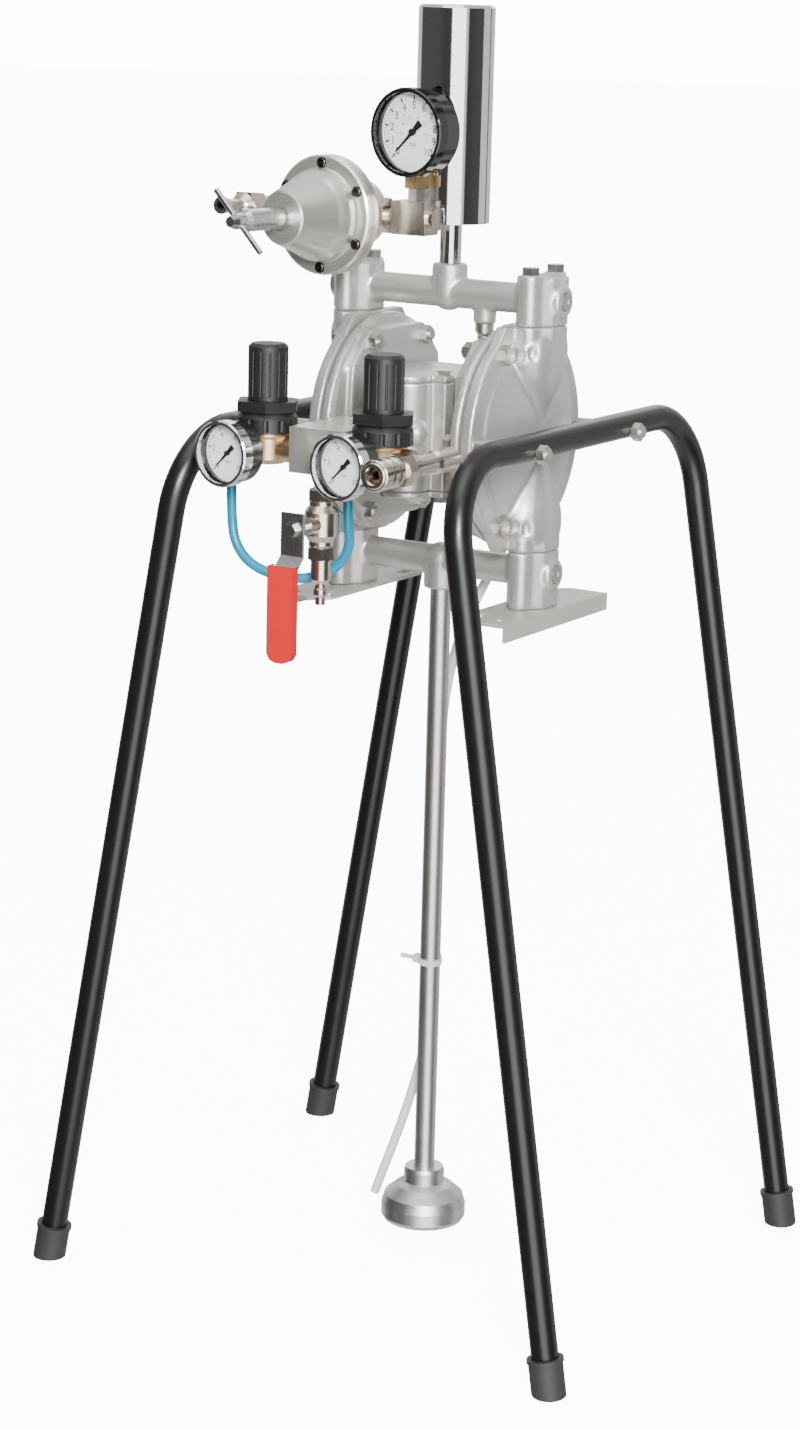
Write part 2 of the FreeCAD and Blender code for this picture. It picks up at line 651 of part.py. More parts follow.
# Manifolds: a cast tube with a bolted block at each end and a tee in the middle
upper_axis = S.axis_level + S.manifold_rise
lower_axis = S.axis_level - S.manifold_rise
upper_joint = S.axis_level + S.joint_height
lower_joint = S.axis_level - S.joint_height
half_block = S.manifold_rise - S.joint_height
boss_reach = S.port_offset + S.block_end + 4
tee_radius = 14
tee_height = 23
socket_depth = 15
boss_lift = 2
return_x = 33
return_boss_low = upper_axis - 22


def manifold(name, axis_level, block_low, block_height, up):
    """One manifold. up is 1 where its tee opens upwards and -1 where it opens downwards."""
    run = rod(f"{name}_run", S.manifold_od / 2, S.port_offset * 2, x=-S.port_offset, z=axis_level,
              axis=X_AXIS)
    tee_end = doc.addObject("Part::Sphere", f"{name}_tee_end")
    bind(tee_end, "Radius", tee_radius + 0.5)
    place(tee_end, z=axis_level)
    tee = turned(f"{name}_tee", [
        (0, 0), (tee_radius + 0.5, 0), (tee_radius, 8), (tee_radius, tee_height - 1),
        (tee_radius - 1, tee_height), (0, tee_height)])
    solids = [run, tee_end, place(tee, z=axis_level, axis=Z_AXIS * up)]
    tools = [rod(f"{name}_bore", port_radius, boss_reach * 2 - 8, x=-boss_reach + 4, z=axis_level,
                 axis=X_AXIS)]
    socket_level = axis_level + tee_height - socket_depth if up > 0 else axis_level - tee_height - 1
    tools.append(rod(f"{name}_socket", S.riser_od / 2 + 0.03, socket_depth + 1, z=socket_level))
    branch_low = axis_level - (0 if up > 0 else tee_height - 2)
    tools.append(rod(f"{name}_branch", port_radius, tee_height - 2, z=branch_low))
    if up > 0:
        solids.append(rod("return_boss", 9, upper_axis - return_boss_low, x=return_x, z=return_boss_low))
        tools.append(rod("return_drill", 3, upper_axis - return_boss_low, x=return_x, z=return_boss_low - 1))
    for side in (-1, 1):
        solids.append(oblong(f"{name}_block", block_height, block_low, side))
        boss_length = boss_reach - S.port_offset
        boss = turned(f"{name}_plug_boss", [
            (0, 0), (S.boss_radius, 0), (S.boss_radius, boss_length - 2), (S.boss_radius - 2, boss_length),
            (0, boss_length)])
        solids.append(place(boss, x=side * S.port_offset, z=axis_level, axis=X_AXIS * side))
        tools.append(rod(f"{name}_plug_hole", S.plug_radius + 0.05, 12, x=side * (boss_reach - 11),
                         z=axis_level, axis=X_AXIS * side))
        for end_sign in (-1, 1):
            boss_low = block_low + block_height - 1 if up > 0 else block_low
            solids.append(rod(f"{name}_ear_boss", S.ear_radius - 0.5, boss_lift + 1 if up > 0 else 1,
                              x=side * S.port_offset, y=end_sign * S.ear_spacing, z=boss_low))
            tools.append(rod(f"{name}_ear_hole", bolt_hole, block_height + 10, x=side * S.port_offset,
                             y=end_sign * S.ear_spacing, z=block_low - 2))
        if up > 0:
            tools.append(rod(f"{name}_saddle", 13, 50, x=side * S.port_offset - 25,
                             z=block_low + block_height + 9, axis=X_AXIS))
            tools.append(rod(f"{name}_seat_pocket", S.seat_od / 2 + 0.05, S.seat_height + 1,
                             x=side * S.port_offset, z=block_low - 1))
            tools.append(rod(f"{name}_ball_room", guide_radius, half_block + 6, x=side * S.port_offset,
                             z=block_low))
        else:
            top = block_low + block_height
            tools.append(rod(f"{name}_seat_pocket", S.seat_od / 2 + 0.05, S.seat_height + 1,
                             x=side * S.port_offset, z=top - S.seat_height))
            tools.append(rod(f"{name}_lift", port_radius, half_block, x=side * S.port_offset, z=axis_level))
    return node(name, cut(f"{name}_casting", joined(f"{name}_blank", *solids), *tools))


manifold("upper_manifold", upper_axis, upper_joint, half_block * 2, 1)
manifold("lower_manifold", lower_axis, lower_joint - S.lower_block_depth, S.lower_block_depth, -1)

seat = turned("valve_seat", [
    (S.seat_id / 2, 0), (S.seat_od / 2, 0), (S.seat_od / 2, S.seat_height), (S.seat_id / 2, S.seat_height),
])
seat_places = [dict(x=side * S.port_offset, z=level)
               for level in (upper_joint, lower_joint - S.seat_height) for side in (-1, 1)]
node("ball_seats", copies("ball_seat_set", seat, seat_places))
ball_rise = root(S.ball_size * S.ball_size / 4 - S.seat_id * S.seat_id / 4) + 0.15
check_ball = doc.addObject("Part::Sphere", "check_ball")
bind(check_ball, "Radius", S.ball_size / 2)
for label, side in (("right_discharge_balls", 1), ("left_discharge_balls", -1)):
    node(label, copies(f"{label}_set", check_ball, [
        dict(x=side * S.port_offset, z=upper_joint + S.seat_height + ball_rise),
        dict(x=-side * S.port_offset, z=lower_joint + ball_rise)]))

plug_depth = 9
plug = cut("port_plug", turned("port_plug_blank", [
    (0, -plug_depth), (S.plug_radius, -plug_depth), (S.plug_radius, 0.5), (0, 0.5)]),
    padded("plug_socket", hexagon(6), 6))
node("port_plugs", copies("port_plug_set", plug, [
    dict(x=side * boss_reach, z=level, axis=X_AXIS * side)
    for side in (-1, 1) for level in (upper_axis, lower_axis)]))
upper_bolt = hex_bolt("upper_bolt", S.bolt_size, S.bolt_flats, S.head_height, half_block * 2 + boss_lift + 12)
plate_top = lower_joint - S.lower_block_depth
lower_bolt = hex_bolt("lower_bolt", S.bolt_size, S.bolt_flats, S.head_height,
                      S.lower_block_depth + S.plate_thickness + 12)
ears = [(side, end_sign) for side in (-1, 1) for end_sign in (-1, 1)]
manifold_bolts = [copies("upper_bolt_set", upper_bolt, [
    dict(x=side * S.port_offset, y=end_sign * S.ear_spacing, z=upper_joint + half_block * 2 + boss_lift)
    for side, end_sign in ears]), copies("lower_bolt_set", lower_bolt, [
        dict(x=side * S.port_offset, y=end_sign * S.ear_spacing, z=plate_top - S.plate_thickness, axis=DOWN)
        for side, end_sign in ears])]
node("hex_bolts", pieces("hex_bolt_set", [frame_bolts, clamp_bolts] + manifold_bolts))

# Base plates: folded sheet under each lower block, with clipped corners
clip = 14
plate_outline = [
    (S.plate_inner, -S.plate_half_length + clip), (S.plate_inner + clip, -S.plate_half_length),
    (S.plate_edge, -S.plate_half_length), (S.plate_edge, S.plate_half_length),
    (S.plate_inner + clip, S.plate_half_length), (S.plate_inner, S.plate_half_length - clip),
]
sheet_plate = padded("base_sheet", plate_outline, S.plate_thickness)
place(sheet_plate, z=plate_top - S.plate_thickness)
lip = bar("base_lip", S.plate_thickness, S.plate_half_length * 2, S.plate_lip,
          x=S.plate_edge - S.plate_thickness, y=-S.plate_half_length, z=plate_top - S.plate_lip)
mount_hole = 4.5
slot_length = 16
base_tools = []
for end_sign in (-1, 1):
    base_tools.append(rod("base_ear_hole", bolt_hole, 9, x=S.port_offset, y=end_sign * S.ear_spacing,
                          z=plate_top - 6))
    base_tools.append(rod("base_mount_hole", mount_hole, 9, x=S.port_offset + 10,
                          y=end_sign * (S.plate_half_length - 14), z=plate_top - 6))
    base_tools.append(bar("base_slot", mount_hole * 2, slot_length, 9, x=S.port_offset - 14 - mount_hole,
                          y=end_sign * (S.plate_half_length - 26) - slot_length / 2, z=plate_top - 6))
right_base = cut("base_plate_blank", joined("base_plate_fold", sheet_plate, lip), *base_tools)
node("base_plates", pieces("base_plate_pair", [right_base, mirrored("base_plate_mirror", right_base)]))

# Riser pipe and pulsation damper
riser_low = upper_axis + tee_height - socket_depth
riser = turned("riser_tube", [
    (S.pipe_bore / 2, 0), (S.riser_od / 2, 0), (S.riser_od / 2, S.damper_bottom + 10 - riser_low),
    (S.pipe_bore / 2, S.damper_bottom + 10 - riser_low),
])
node("riser_pipe", place(riser, z=riser_low))
damper_wall = 2.5
base_depth = 16
damper_length = S.damper_top - S.damper_bottom
damper = turned("damper_tube", [
    (S.damper_radius - damper_wall, 0), (S.damper_radius, 0), (S.damper_radius, damper_length - 2),
    (S.damper_radius - 2, damper_length), (0, damper_length), (0, damper_length - 4),
    (S.damper_radius - damper_wall, damper_length - 4),
])
port_boss = rod("damper_port_hole", 7, S.damper_radius + 5, z=S.fluid_level - S.damper_bottom, axis=FRONT)
damper_shell = place(cut("damper_body", damper, port_boss), z=S.damper_bottom)
damper_base = turned("damper_plug", [
    (S.riser_od / 2 + 0.03, 0), (S.damper_radius - damper_wall - 0.05, 0),
    (S.damper_radius - damper_wall - 0.05, base_depth), (6, base_depth), (6, 10),
    (S.riser_od / 2 + 0.03, 10),
])
side_way = rod("damper_side_way", 7.05, S.damper_radius, z=S.fluid_level - S.damper_bottom, axis=FRONT)
damper_foot = place(cut("damper_base_body", damper_base, side_way), z=S.damper_bottom)
node("pulsation_damper", pieces("damper_set", [damper_shell, damper_foot]))

# Suction tube and strainer foot
suction_top = lower_axis - tee_height + socket_depth - 1
strainer_top = S.strainer_bottom + S.strainer_height + 6
suction_low = strainer_top - 22
suction = turned("suction_pipe", [
    (S.suction_od / 2 - 1.6, 0), (S.suction_od / 2, 0), (S.suction_od / 2, suction_top - suction_low),
    (S.suction_od / 2 - 1.6, suction_top - suction_low),
])
node("suction_tube", place(suction, z=suction_low))
collar_top = S.strainer_height + 6
rim = S.strainer_radius
socket = S.suction_od / 2 + 0.05
strainer = turned("strainer_bell", [
    (rim - 5, 0), (rim - 2.5, 0), (rim, 4), (rim, S.strainer_height - 26),
    (rim - 2.5, S.strainer_height - 18),
    (rim - 12, S.strainer_height - 10), (17, S.strainer_height - 7), (17, collar_top - 3),
    (16, collar_top), (socket, collar_top), (socket, collar_top - 22), (8, collar_top - 22),
    (8, collar_top - 25), (rim - 11, collar_top - 25), (rim - 4, 9), (rim - 4, 5), (rim - 5, 5),
])
place(strainer, z=S.strainer_bottom)
screen = turned("strainer_disc", [(0, 0), (rim - 5.1, 0), (rim - 5.1, 1.5), (0, 1.5)])
screen_holes = [rod(f"screen_hole_{index}", 2.5, 5, x=20 * math.cos(math.radians(30 * index)),
                    y=20 * math.sin(math.radians(30 * index)), z=-2) for index in range(12)]
strainer_plate = place(cut("strainer_plate", screen, *screen_holes), z=S.strainer_bottom + 1)
node("strainer_foot", pieces("strainer_set", [strainer, strainer_plate]))

# Front-facing instruments: their own Z points at the viewer, their Y up
GAUGE_TURN = 6
front_turn = math.radians(GAUGE_TURN)
gauge_front = Vector(-math.sin(front_turn), -math.cos(front_turn), 0)
gauge_right = Vector(math.cos(front_turn), -math.sin(front_turn), 0)
front_rotation = FreeCAD.Rotation(gauge_right, Z_AXIS, gauge_front, "XYZ")


def face_front(item, x, y, z, reach=0):
    """Puts an instrument's piece at a spot, reach further out along its axis."""
    place(item, x=x + reach * gauge_front.x, y=y + reach * gauge_front.y, z=z)
    item.Placement = FreeCAD.Placement(item.Placement.Base, front_rotation)
    return item


def needle(name, radius, x, y, z, reach):
    """A thin pointer that rests on the zero mark at the lower left, with its tail and hub."""
    tip = radius * 0.72
    tail = radius * 0.34
    half = radius * 0.024
    blade = padded(f"{name}_blade", [
        (-half, -half * 2), (tip, -half * 0.6), (tip, half * 0.6), (-half, half * 2),
        (-tail, half * 4), (-tail, -half * 4),
    ], 0.8)
    pin = rod(f"{name}_hub", radius * 0.085, 3)
    arrow = joined(f"{name}_arrow", place(blade, z=1), pin)
    zero = FreeCAD.Rotation(Z_AXIS, 225)
    place(arrow, x=x + reach * gauge_front.x, y=y + reach * gauge_front.y, z=z)
    arrow.Placement = FreeCAD.Placement(arrow.Placement.Base, front_rotation.multiply(zero))
    return node(name, arrow)


# Air regulators either side of the distribution block
body_width = S.knob_radius * 1.25
bonnet_low = S.port_level + 12.5
nut_low = bonnet_low + 16
nut_high = nut_low + 8
shell_bottom = S.port_level - 12
knob_low = nut_high + 0.3
stem_radius = 9
screw_size = 4
gauge_base = 24
case_back = gauge_base + 9
regulator_bodies = []
regulator_bonnets = []
gauge_cases = []
gauge_bezels = []
gauge_dials = []
gauge_lenses = []


def ring_of_rods(name, radius, height, ring_radius, low, count, centre):
    """Upright rods in a ring, to cut flutes with."""
    turns = [2 * math.pi * step / count for step in range(count)]
    return [rod(f"{name}_{step}", radius, height, x=centre["x"] + ring_radius * math.cos(turn),
                y=centre["y"] + ring_radius * math.sin(turn), z=low) for step, turn in enumerate(turns)]


def gauge_set(name, radius, depth, x, y, z, back):
    """Case, bezel, dial and window of one gauge, with its back plate at back along its axis."""
    wall = 1.5
    rim = radius - 2
    case = turned(f"{name}_case", [
        (0, 0), (rim, 0), (rim, depth - 7.5), (rim - wall, depth - 7.5), (rim - wall, 2), (0, 2)])
    bezel = turned(f"{name}_bezel", [
        (rim + 0.02, depth - 10), (radius, depth - 10), (radius, depth - 1), (radius - 1, depth),
        (rim - 1.2, depth), (rim - 1.2, depth - 2), (rim + 0.02, depth - 2)])
    dial = rod(f"{name}_dial", rim - wall - 0.05, 1)
    lens = rod(f"{name}_lens", rim - 0.05, 1.5)
    gauge_cases.append(face_front(case, x, y, z, back))
    gauge_bezels.append(face_front(bezel, x, y, z, back))
    gauge_dials.append(face_front(dial, x, y, z, back + depth - 12))
    gauge_lenses.append(face_front(lens, x, y, z, back + depth - 3.5))
    needle(f"{name}_needle", radius - 3.5, x, y, z, back + depth - 10.9)
    return case


for label, regulator_x in (("left", S.regulator_x - S.regulator_pitch), ("right", S.regulator_x)):
    at = dict(x=regulator_x, y=S.regulator_y)
    shell = turned(f"{label}_body_shell", [
        (0, 0), (body_width - 6, 0), (body_width - 2, 4), (body_width - 2, 20), (body_width, 22),
        (body_width, bonnet_low - shell_bottom), (0, bonnet_low - shell_bottom)])
    place(shell, z=shell_bottom, **at)
    ports = rod(f"{label}_ports", 10.5, S.body_reach * 2, x=regulator_x - S.body_reach, y=S.regulator_y,
                z=S.port_level, axis=X_AXIS)
    gauge_port = face_front(rod(f"{label}_gauge_port", 8, gauge_base - 10), regulator_x, S.regulator_y,
                            S.port_level, 10)
    drill = rod(f"{label}_port_drill", 5.5, S.body_reach * 2 + 2, x=regulator_x - S.body_reach - 1,
                y=S.regulator_y, z=S.port_level, axis=X_AXIS)
    well = rod(f"{label}_spring_well", 13, 20, z=bonnet_low - 10, **at)
    regulator_bodies.append(cut(f"{label}_regulator_body",
                                joined(f"{label}_body_blank", shell, ports, gauge_port), drill, well))
    bonnet = turned(f"{label}_bonnet", [
        (13, 0), (body_width + 4, 0), (body_width + 4, 11), (body_width + 1, 15.9), (17, 15.9),
        (17, 24), (stem_radius, 24), (stem_radius, 44), (screw_size + 0.1, 44), (screw_size + 0.1, 20),
        (13, 14),
    ])
    place(bonnet, z=bonnet_low, **at)
    bonnet_flutes = ring_of_rods(f"{label}_bonnet_flute", 3, 9, body_width + 5.8, bonnet_low + 1.5, 12, at)
    regulator_bonnets.append(cut(f"{label}_bonnet_fluted", bonnet, *bonnet_flutes))
    panel_nut = cut(f"{label}_panel_nut", padded(f"{label}_nut_blank", hexagon(45), 8),
                    rod(f"{label}_nut_bore", 17.05, 10, z=-1))
    regulator_bonnets.append(place(panel_nut, z=nut_low, **at))
    screw = turned(f"{label}_screw_rod", [
        (0, 0), (screw_size, 0), (screw_size, 44), (screw_size + 3.5, 44), (screw_size + 3.5, 48), (0, 48)])
    node(f"{label}_adjusting_screw", place(screw, z=bonnet_low + 8, **at))
    knob = turned(f"{label}_knob_cap", [
        (stem_radius + 1.5, 0), (S.knob_radius, 0), (S.knob_radius, S.knob_height - 2.5),
        (S.knob_radius - 2.5, S.knob_height), (0, S.knob_height), (0, S.knob_height - 4),
        (stem_radius + 1.5, S.knob_height - 4),
    ])
    place(knob, z=knob_low, **at)
    flutes = ring_of_rods(f"{label}_knob_flute", 1.2, S.knob_height - 9, S.knob_radius + 0.6,
                          knob_low + 3, 14, at)
    node(f"{label}_knob", cut(f"{label}_knob_fluted", knob, *flutes))
    case = gauge_set(f"{label}_gauge", S.small_gauge_radius, S.small_gauge_depth, regulator_x,
                     S.regulator_y, S.port_level, case_back)
    gauge_cases.append(face_front(rod(f"{label}_gauge_stem", 6.5, case_back - gauge_base), regulator_x,
                                  S.regulator_y, S.port_level, gauge_base))
node("regulator_bodies", pieces("regulator_body_pair", regulator_bodies))
node("regulator_bonnets", pieces("regulator_bonnet_set", regulator_bonnets))

# Distribution block between the regulators, with its way back to the air valve
block_left = S.regulator_x - S.regulator_pitch + S.body_reach
block_width = S.regulator_pitch - S.body_reach * 2
valve_x = block_left + 21.5
valve_y = S.regulator_y + 3
block_low = S.port_level - S.block_drop
hose_port_x = block_left + block_width - 13
hose_port_y = S.regulator_y + 18
block_drills = [
    rod("block_cross_drill", 5.5, block_width + 2, x=block_left - 1, y=S.regulator_y, z=S.port_level,
        axis=X_AXIS),
    rod("block_back_drill", 5, S.block_rear - S.regulator_y + 1, x=inlet_x, y=S.regulator_y, z=S.port_level,
        axis=Y_AXIS),
    rod("block_inlet_drill", 5, S.block_drop + 1, x=valve_x, y=valve_y, z=block_low - 1),
    rod("block_hose_drill", 2.5, 15, x=hose_port_x, y=hose_port_y, z=block_low - 1),
]
block_body = bar("block_blank", block_width, S.block_rear - S.block_front, S.block_height,
                 x=block_left, y=S.block_front, z=block_low)
node("distribution_block", cut("block_drilled", block_body, *block_drills))

# Quick coupler on the right regulator
coupler_gap = 7.5
coupler_x = S.regulator_x + S.body_reach + coupler_gap
nose = S.coupler_radius - 1.9
mouth = 6
coupler = turned("coupler_tube", [
    (4, 0), (9.5, 0), (9.5, 24), (7.4, 27), (7.4, S.coupler_length - 58), (nose, S.coupler_length - 55),
    (nose, S.coupler_length - 1), (nose - 1, S.coupler_length), (mouth + 1, S.coupler_length),
    (mouth, S.coupler_length - 1.5), (mouth, S.coupler_length - 22), (4, S.coupler_length - 22),
])
coupler_hex = padded("coupler_hex", hexagon(23), 12)
coupler_rear = S.regulator_y + 40
at_coupler = dict(x=coupler_x, y=coupler_rear, z=S.port_level, axis=FRONT)
place(coupler, **at_coupler)
place(coupler_hex, x=coupler_x, y=coupler_rear - S.coupler_length + 46, z=S.port_level, axis=FRONT)
branch = rod("coupler_branch", 7.3, coupler_gap, x=coupler_x - coupler_gap, y=S.regulator_y, z=S.port_level,
             axis=X_AXIS)
coupler_bore = rod("coupler_bore", 4, S.coupler_length, **at_coupler)
plug_end = rod("coupler_end", 7.5, 4, x=coupler_x, y=coupler_rear + 4, z=S.port_level, axis=FRONT)
branch_bore = rod("coupler_branch_bore", 4, 11, x=coupler_x - coupler_gap - 1, y=S.regulator_y,
                  z=S.port_level, axis=X_AXIS)
node("coupler_body", joined("coupler_body_fused", cut(
    "coupler_blank_bored", joined("coupler_blank", coupler, coupler_hex, branch), coupler_bore, branch_bore),
    plug_end))
sleeve_length = 27
sleeve = turned("coupler_sleeve_ring", [
    (nose + 0.06, 0), (S.coupler_radius - 0.8, 0), (S.coupler_radius, 1), (S.coupler_radius, 5),
    (S.coupler_radius - 1, 6.5), (S.coupler_radius - 1, 9), (S.coupler_radius, 10.5), (S.coupler_radius, 14),
    (S.coupler_radius - 1, 15.5), (S.coupler_radius - 1, 18), (S.coupler_radius, 19.5),
    (S.coupler_radius, sleeve_length - 1), (S.coupler_radius - 1, sleeve_length),
    (nose + 0.06, sleeve_length),
])
node("coupler_sleeve", place(sleeve, x=coupler_x, y=coupler_rear - S.coupler_length + 28, z=S.port_level,
                             axis=FRONT))

# Inlet ball valve hanging under the block, with its lever and the quick plug
pivot_level = block_low - 39
ball_radius = 9
valve_bottom = pivot_level - 29
valve_top = block_low - valve_bottom
valve_profile = turned("ball_valve_tube", [
    (5, 0), (9, 0), (9, 10), (10, 12), (10, 15), (13.5, 20), (13.5, 38), (10, 43), (10, 46), (9, 47),
    (9, 55), (6.5, 57), (6.5, valve_top), (5, valve_top)])
place(valve_profile, x=valve_x, y=valve_y, z=valve_bottom)
lower_hex = place(padded("valve_lower_hex", hexagon(20), 9), x=valve_x, y=valve_y, z=valve_bottom + 1)
upper_hex = place(padded("valve_upper_hex", hexagon(20), 8), x=valve_x, y=valve_y, z=pivot_level + 18)
stem_boss = rod("stem_boss", 7, 24, x=valve_x, y=valve_y, z=pivot_level, axis=FRONT)
room = doc.addObject("Part::Sphere", "ball_seat_room")
bind(room, "Radius", ball_radius + 0.1)
place(room, x=valve_x, y=valve_y, z=pivot_level)
stem_bore = rod("stem_bore", 4.06, 30, x=valve_x, y=valve_y, z=pivot_level, axis=FRONT)
flow_bore = rod("valve_bore", 5, valve_top + 2, x=valve_x, y=valve_y, z=valve_bottom - 1)
valve_blank = joined("ball_valve_blank", valve_profile, lower_hex, upper_hex, stem_boss)
valve_body = cut("ball_valve_casting", valve_blank,
                 room, stem_bore, flow_bore)
plug_profile = turned("inlet_plug_tube", [
    (3, 0), (4, 0), (4, 6), (5.8, 8), (5.8, 12), (4.6, 13.5), (4.6, 16), (5.8, 17.5), (8, 20), (8, 26),
    (8, 35), (3, 35)])
place(plug_profile, x=valve_x, y=valve_y, z=valve_bottom - 35)
node("inlet_valve_body", pieces("valve_and_plug", [valve_body, plug_profile]))
ball = doc.addObject("Part::Sphere", "inlet_ball")
bind(ball, "Radius", ball_radius)
place(ball, x=valve_x, y=valve_y, z=pivot_level)
lever_face = 42
stem = rod("inlet_stem", 4, lever_face + 4, x=valve_x, y=valve_y, z=pivot_level, axis=FRONT)
ball_way = rod("inlet_ball_way", 5, 30, x=valve_x, y=valve_y, z=pivot_level - 15)
ball_trim = joined("inlet_stem_and_ball", cut("inlet_ball_bored", ball, ball_way),
                   cut("inlet_stem_trimmed", stem, rod("inlet_stem_way", 5, 30, x=valve_x, y=valve_y,
                                                       z=pivot_level - 15)))
node("inlet_valve_ball", ball_trim)
lever_thickness = 2.5
lever_out = 13
lever_width = 20
lever_top = 13
grip_bottom = 101
lever_outline = [
    (-lever_face, lever_top), (-lever_face, -20), (-lever_face - lever_out, -33),
    (-lever_face - lever_out, -grip_bottom + 5),
    (-lever_face - lever_out + lever_thickness, -grip_bottom + 5),
    (-lever_face - lever_out + lever_thickness, -34), (-lever_face + lever_thickness, -21),
    (-lever_face + lever_thickness, lever_top),
]
lever_plate = padded("lever_plate", lever_outline, lever_width, role="YZ_Plane")
place(lever_plate, x=valve_x - lever_width / 2, y=valve_y, z=pivot_level)
lever_hole = rod("lever_hole", 4, 60, x=valve_x, y=valve_y, z=pivot_level, axis=FRONT)
lever = cut("lever_drilled", lever_plate, lever_hole)
lever_nut = cut("lever_nut", padded("lever_nut_blank", hexagon(10), 4), rod("lever_nut_bore", 4, 5, z=-0.5))
place(lever_nut, x=valve_x, y=valve_y - lever_face, z=pivot_level, axis=FRONT)
node("valve_lever", pieces("lever_and_nut", [lever, lever_nut]))
grip_width = 23
grip_depth = 8
grip_outline = [
    (-grip_width / 2, 0), (-grip_width / 2, -68), (-grip_width / 2 + 3, -73), (-grip_width / 2 + 8, -75),
    (grip_width / 2 - 8, -75), (grip_width / 2 - 3, -73), (grip_width / 2, -68), (grip_width / 2, 0),
]
grip_blank = padded("grip_blank", grip_outline, grip_depth, role="XZ_Plane")
place(grip_blank, x=valve_x, y=valve_y - lever_face - lever_out + lever_thickness / 2 + grip_depth / 2,
      z=pivot_level - 26)
grip_slot = bar("grip_slot", lever_width, lever_thickness, 80, x=valve_x - lever_width / 2,
                y=valve_y - lever_face - lever_out, z=pivot_level - grip_bottom + 5)
grip_mouth = bar("grip_mouth", lever_width, 18, 10, x=valve_x - lever_width / 2,
                 y=valve_y - lever_face - lever_out, z=pivot_level - 35)
node("lever_grip", cut("lever_grip_hollow", grip_blank, grip_slot, grip_mouth))

# Fluid regulator: body and bonnet clamp a diaphragm, and a T-screw loads its spring
fluid_at = (S.fluid_x, S.fluid_y, S.fluid_level)
body_back = -16
clamp_reach = 31
bonnet_reach = clamp_reach + 1
bonnet_depth = 55
port_reach = 28
body_radius = 26
port_radius_outer = 12
port_bore = 5
body_depth = clamp_reach - body_back
fluid_shell = turned("fluid_body_shell", [
    (0, 0), (body_radius - 3, 0), (body_radius, 3), (body_radius, body_depth - 16),
    (body_radius + 9, body_depth - 9), (S.fluid_radius - 2, body_depth - 8),
    (S.fluid_radius, body_depth - 6), (S.fluid_radius, body_depth), (24, body_depth), (20, body_depth - 8),
    (0, body_depth - 8),
])
face_front(fluid_shell, *fluid_at, reach=body_back)
fluid_ports = rod("fluid_ports", port_radius_outer, port_reach * 2, x=S.fluid_x - port_reach, y=S.fluid_y,
                  z=S.fluid_level, axis=X_AXIS)
fluid_drill = rod("fluid_drill", port_bore, port_reach * 2 + 2, x=S.fluid_x - port_reach - 1, y=S.fluid_y,
                  z=S.fluid_level, axis=X_AXIS)
fluid_bonnet = turned("fluid_bonnet", [
    (30, 0), (S.fluid_radius, 0), (S.fluid_radius, 5), (S.fluid_radius - 1.5, 6.5), (37, 7), (36, 9),
    (35.5, 14), (33.5, 19), (31.5, 23), (28.5, 32), (21, bonnet_depth - 1), (19.5, bonnet_depth),
    (13, bonnet_depth), (12, bonnet_depth - 2), (S.screw_radius + 0.06, bonnet_depth - 2),
    (S.screw_radius + 0.06, 43), (18, 43), (18, 8),
])
face_front(fluid_bonnet, *fluid_at, reach=bonnet_reach)
rubber = face_front(rod("fluid_diaphragm_disc", S.fluid_radius - 2, 1), *fluid_at, reach=clamp_reach)
loader = face_front(rod("fluid_diaphragm_plate", 16.5, 3), *fluid_at, reach=bonnet_reach)
SCREW_ANGLES = [math.radians(30 + 60 * step) for step in range(6)]
cap_screw_reach = bonnet_reach + 5
cap_screw_circle = 40.5
cap_screws = []
screw_holes = []
for index, angle in enumerate(SCREW_ANGLES):
    cap_screw = turned(f"cap_screw_{index + 1}", [(0, -8), (2.5, -8), (2.5, 0), (4, 0), (4, 2.6), (3.4, 3.2),
                                                  (1.8, 3.2), (1.8, 1.2), (0, 1.2)])
    screw_hole = turned(f"cap_screw_hole_{index + 1}", [(0, -9), (2.55, -9), (2.55, 0), (4.6, 0), (4.6, 8),
                                                        (0, 8)])
    across = cap_screw_circle * math.cos(angle)
    spot = (S.fluid_x + across * gauge_right.x, S.fluid_y + across * gauge_right.y,
            S.fluid_level + cap_screw_circle * math.sin(angle), cap_screw_reach)
    cap_screws.append(face_front(cap_screw, *spot))
    screw_holes.append(face_front(screw_hole, *spot))
node("fluid_regulator_body", cut("fluid_body_casting", joined("fluid_body_blank", fluid_shell, fluid_ports),
                                 fluid_drill, *screw_holes))
node("fluid_regulator_bonnet", cut("fluid_bonnet_casting", fluid_bonnet, *screw_holes))
node("fluid_diaphragm", pieces("fluid_diaphragm_set", [cut("fluid_rubber", rubber, *screw_holes), loader]))
seat_low = bonnet_reach + 25
spring_wire = 1.5
spring_low = bonnet_reach + 3 + spring_wire
spring = doc.addObject("PartDesign::Body", "fluid_spring")
wire_corners = [(12.5 + spring_wire * math.cos(math.radians(60 * step)),
                 spring_wire * math.sin(math.radians(60 * step))) for step in range(6)]
wire_outline = outline_sketch(spring, "spring_wire_outline", "XZ_Plane", wire_corners)
coil = spring.newObject("PartDesign::AdditiveHelix", "spring_coil")
coil.Profile = wire_outline
coil.ReferenceAxis = (wire_outline, ["V_Axis"])
coil.Mode = 0
bind(coil, "Height", seat_low - spring_low - spring_wire)
bind(coil, "Pitch", (seat_low - spring_low - spring_wire) / 4)
node("fluid_spring", face_front(spring, *fluid_at, reach=spring_low))
spring_seat = rod("spring_seat_disc", 16.5, 4)
node("spring_seat", face_front(spring_seat, *fluid_at, reach=seat_low))
screw_start = seat_low + 4
screw_length = 148 - screw_start
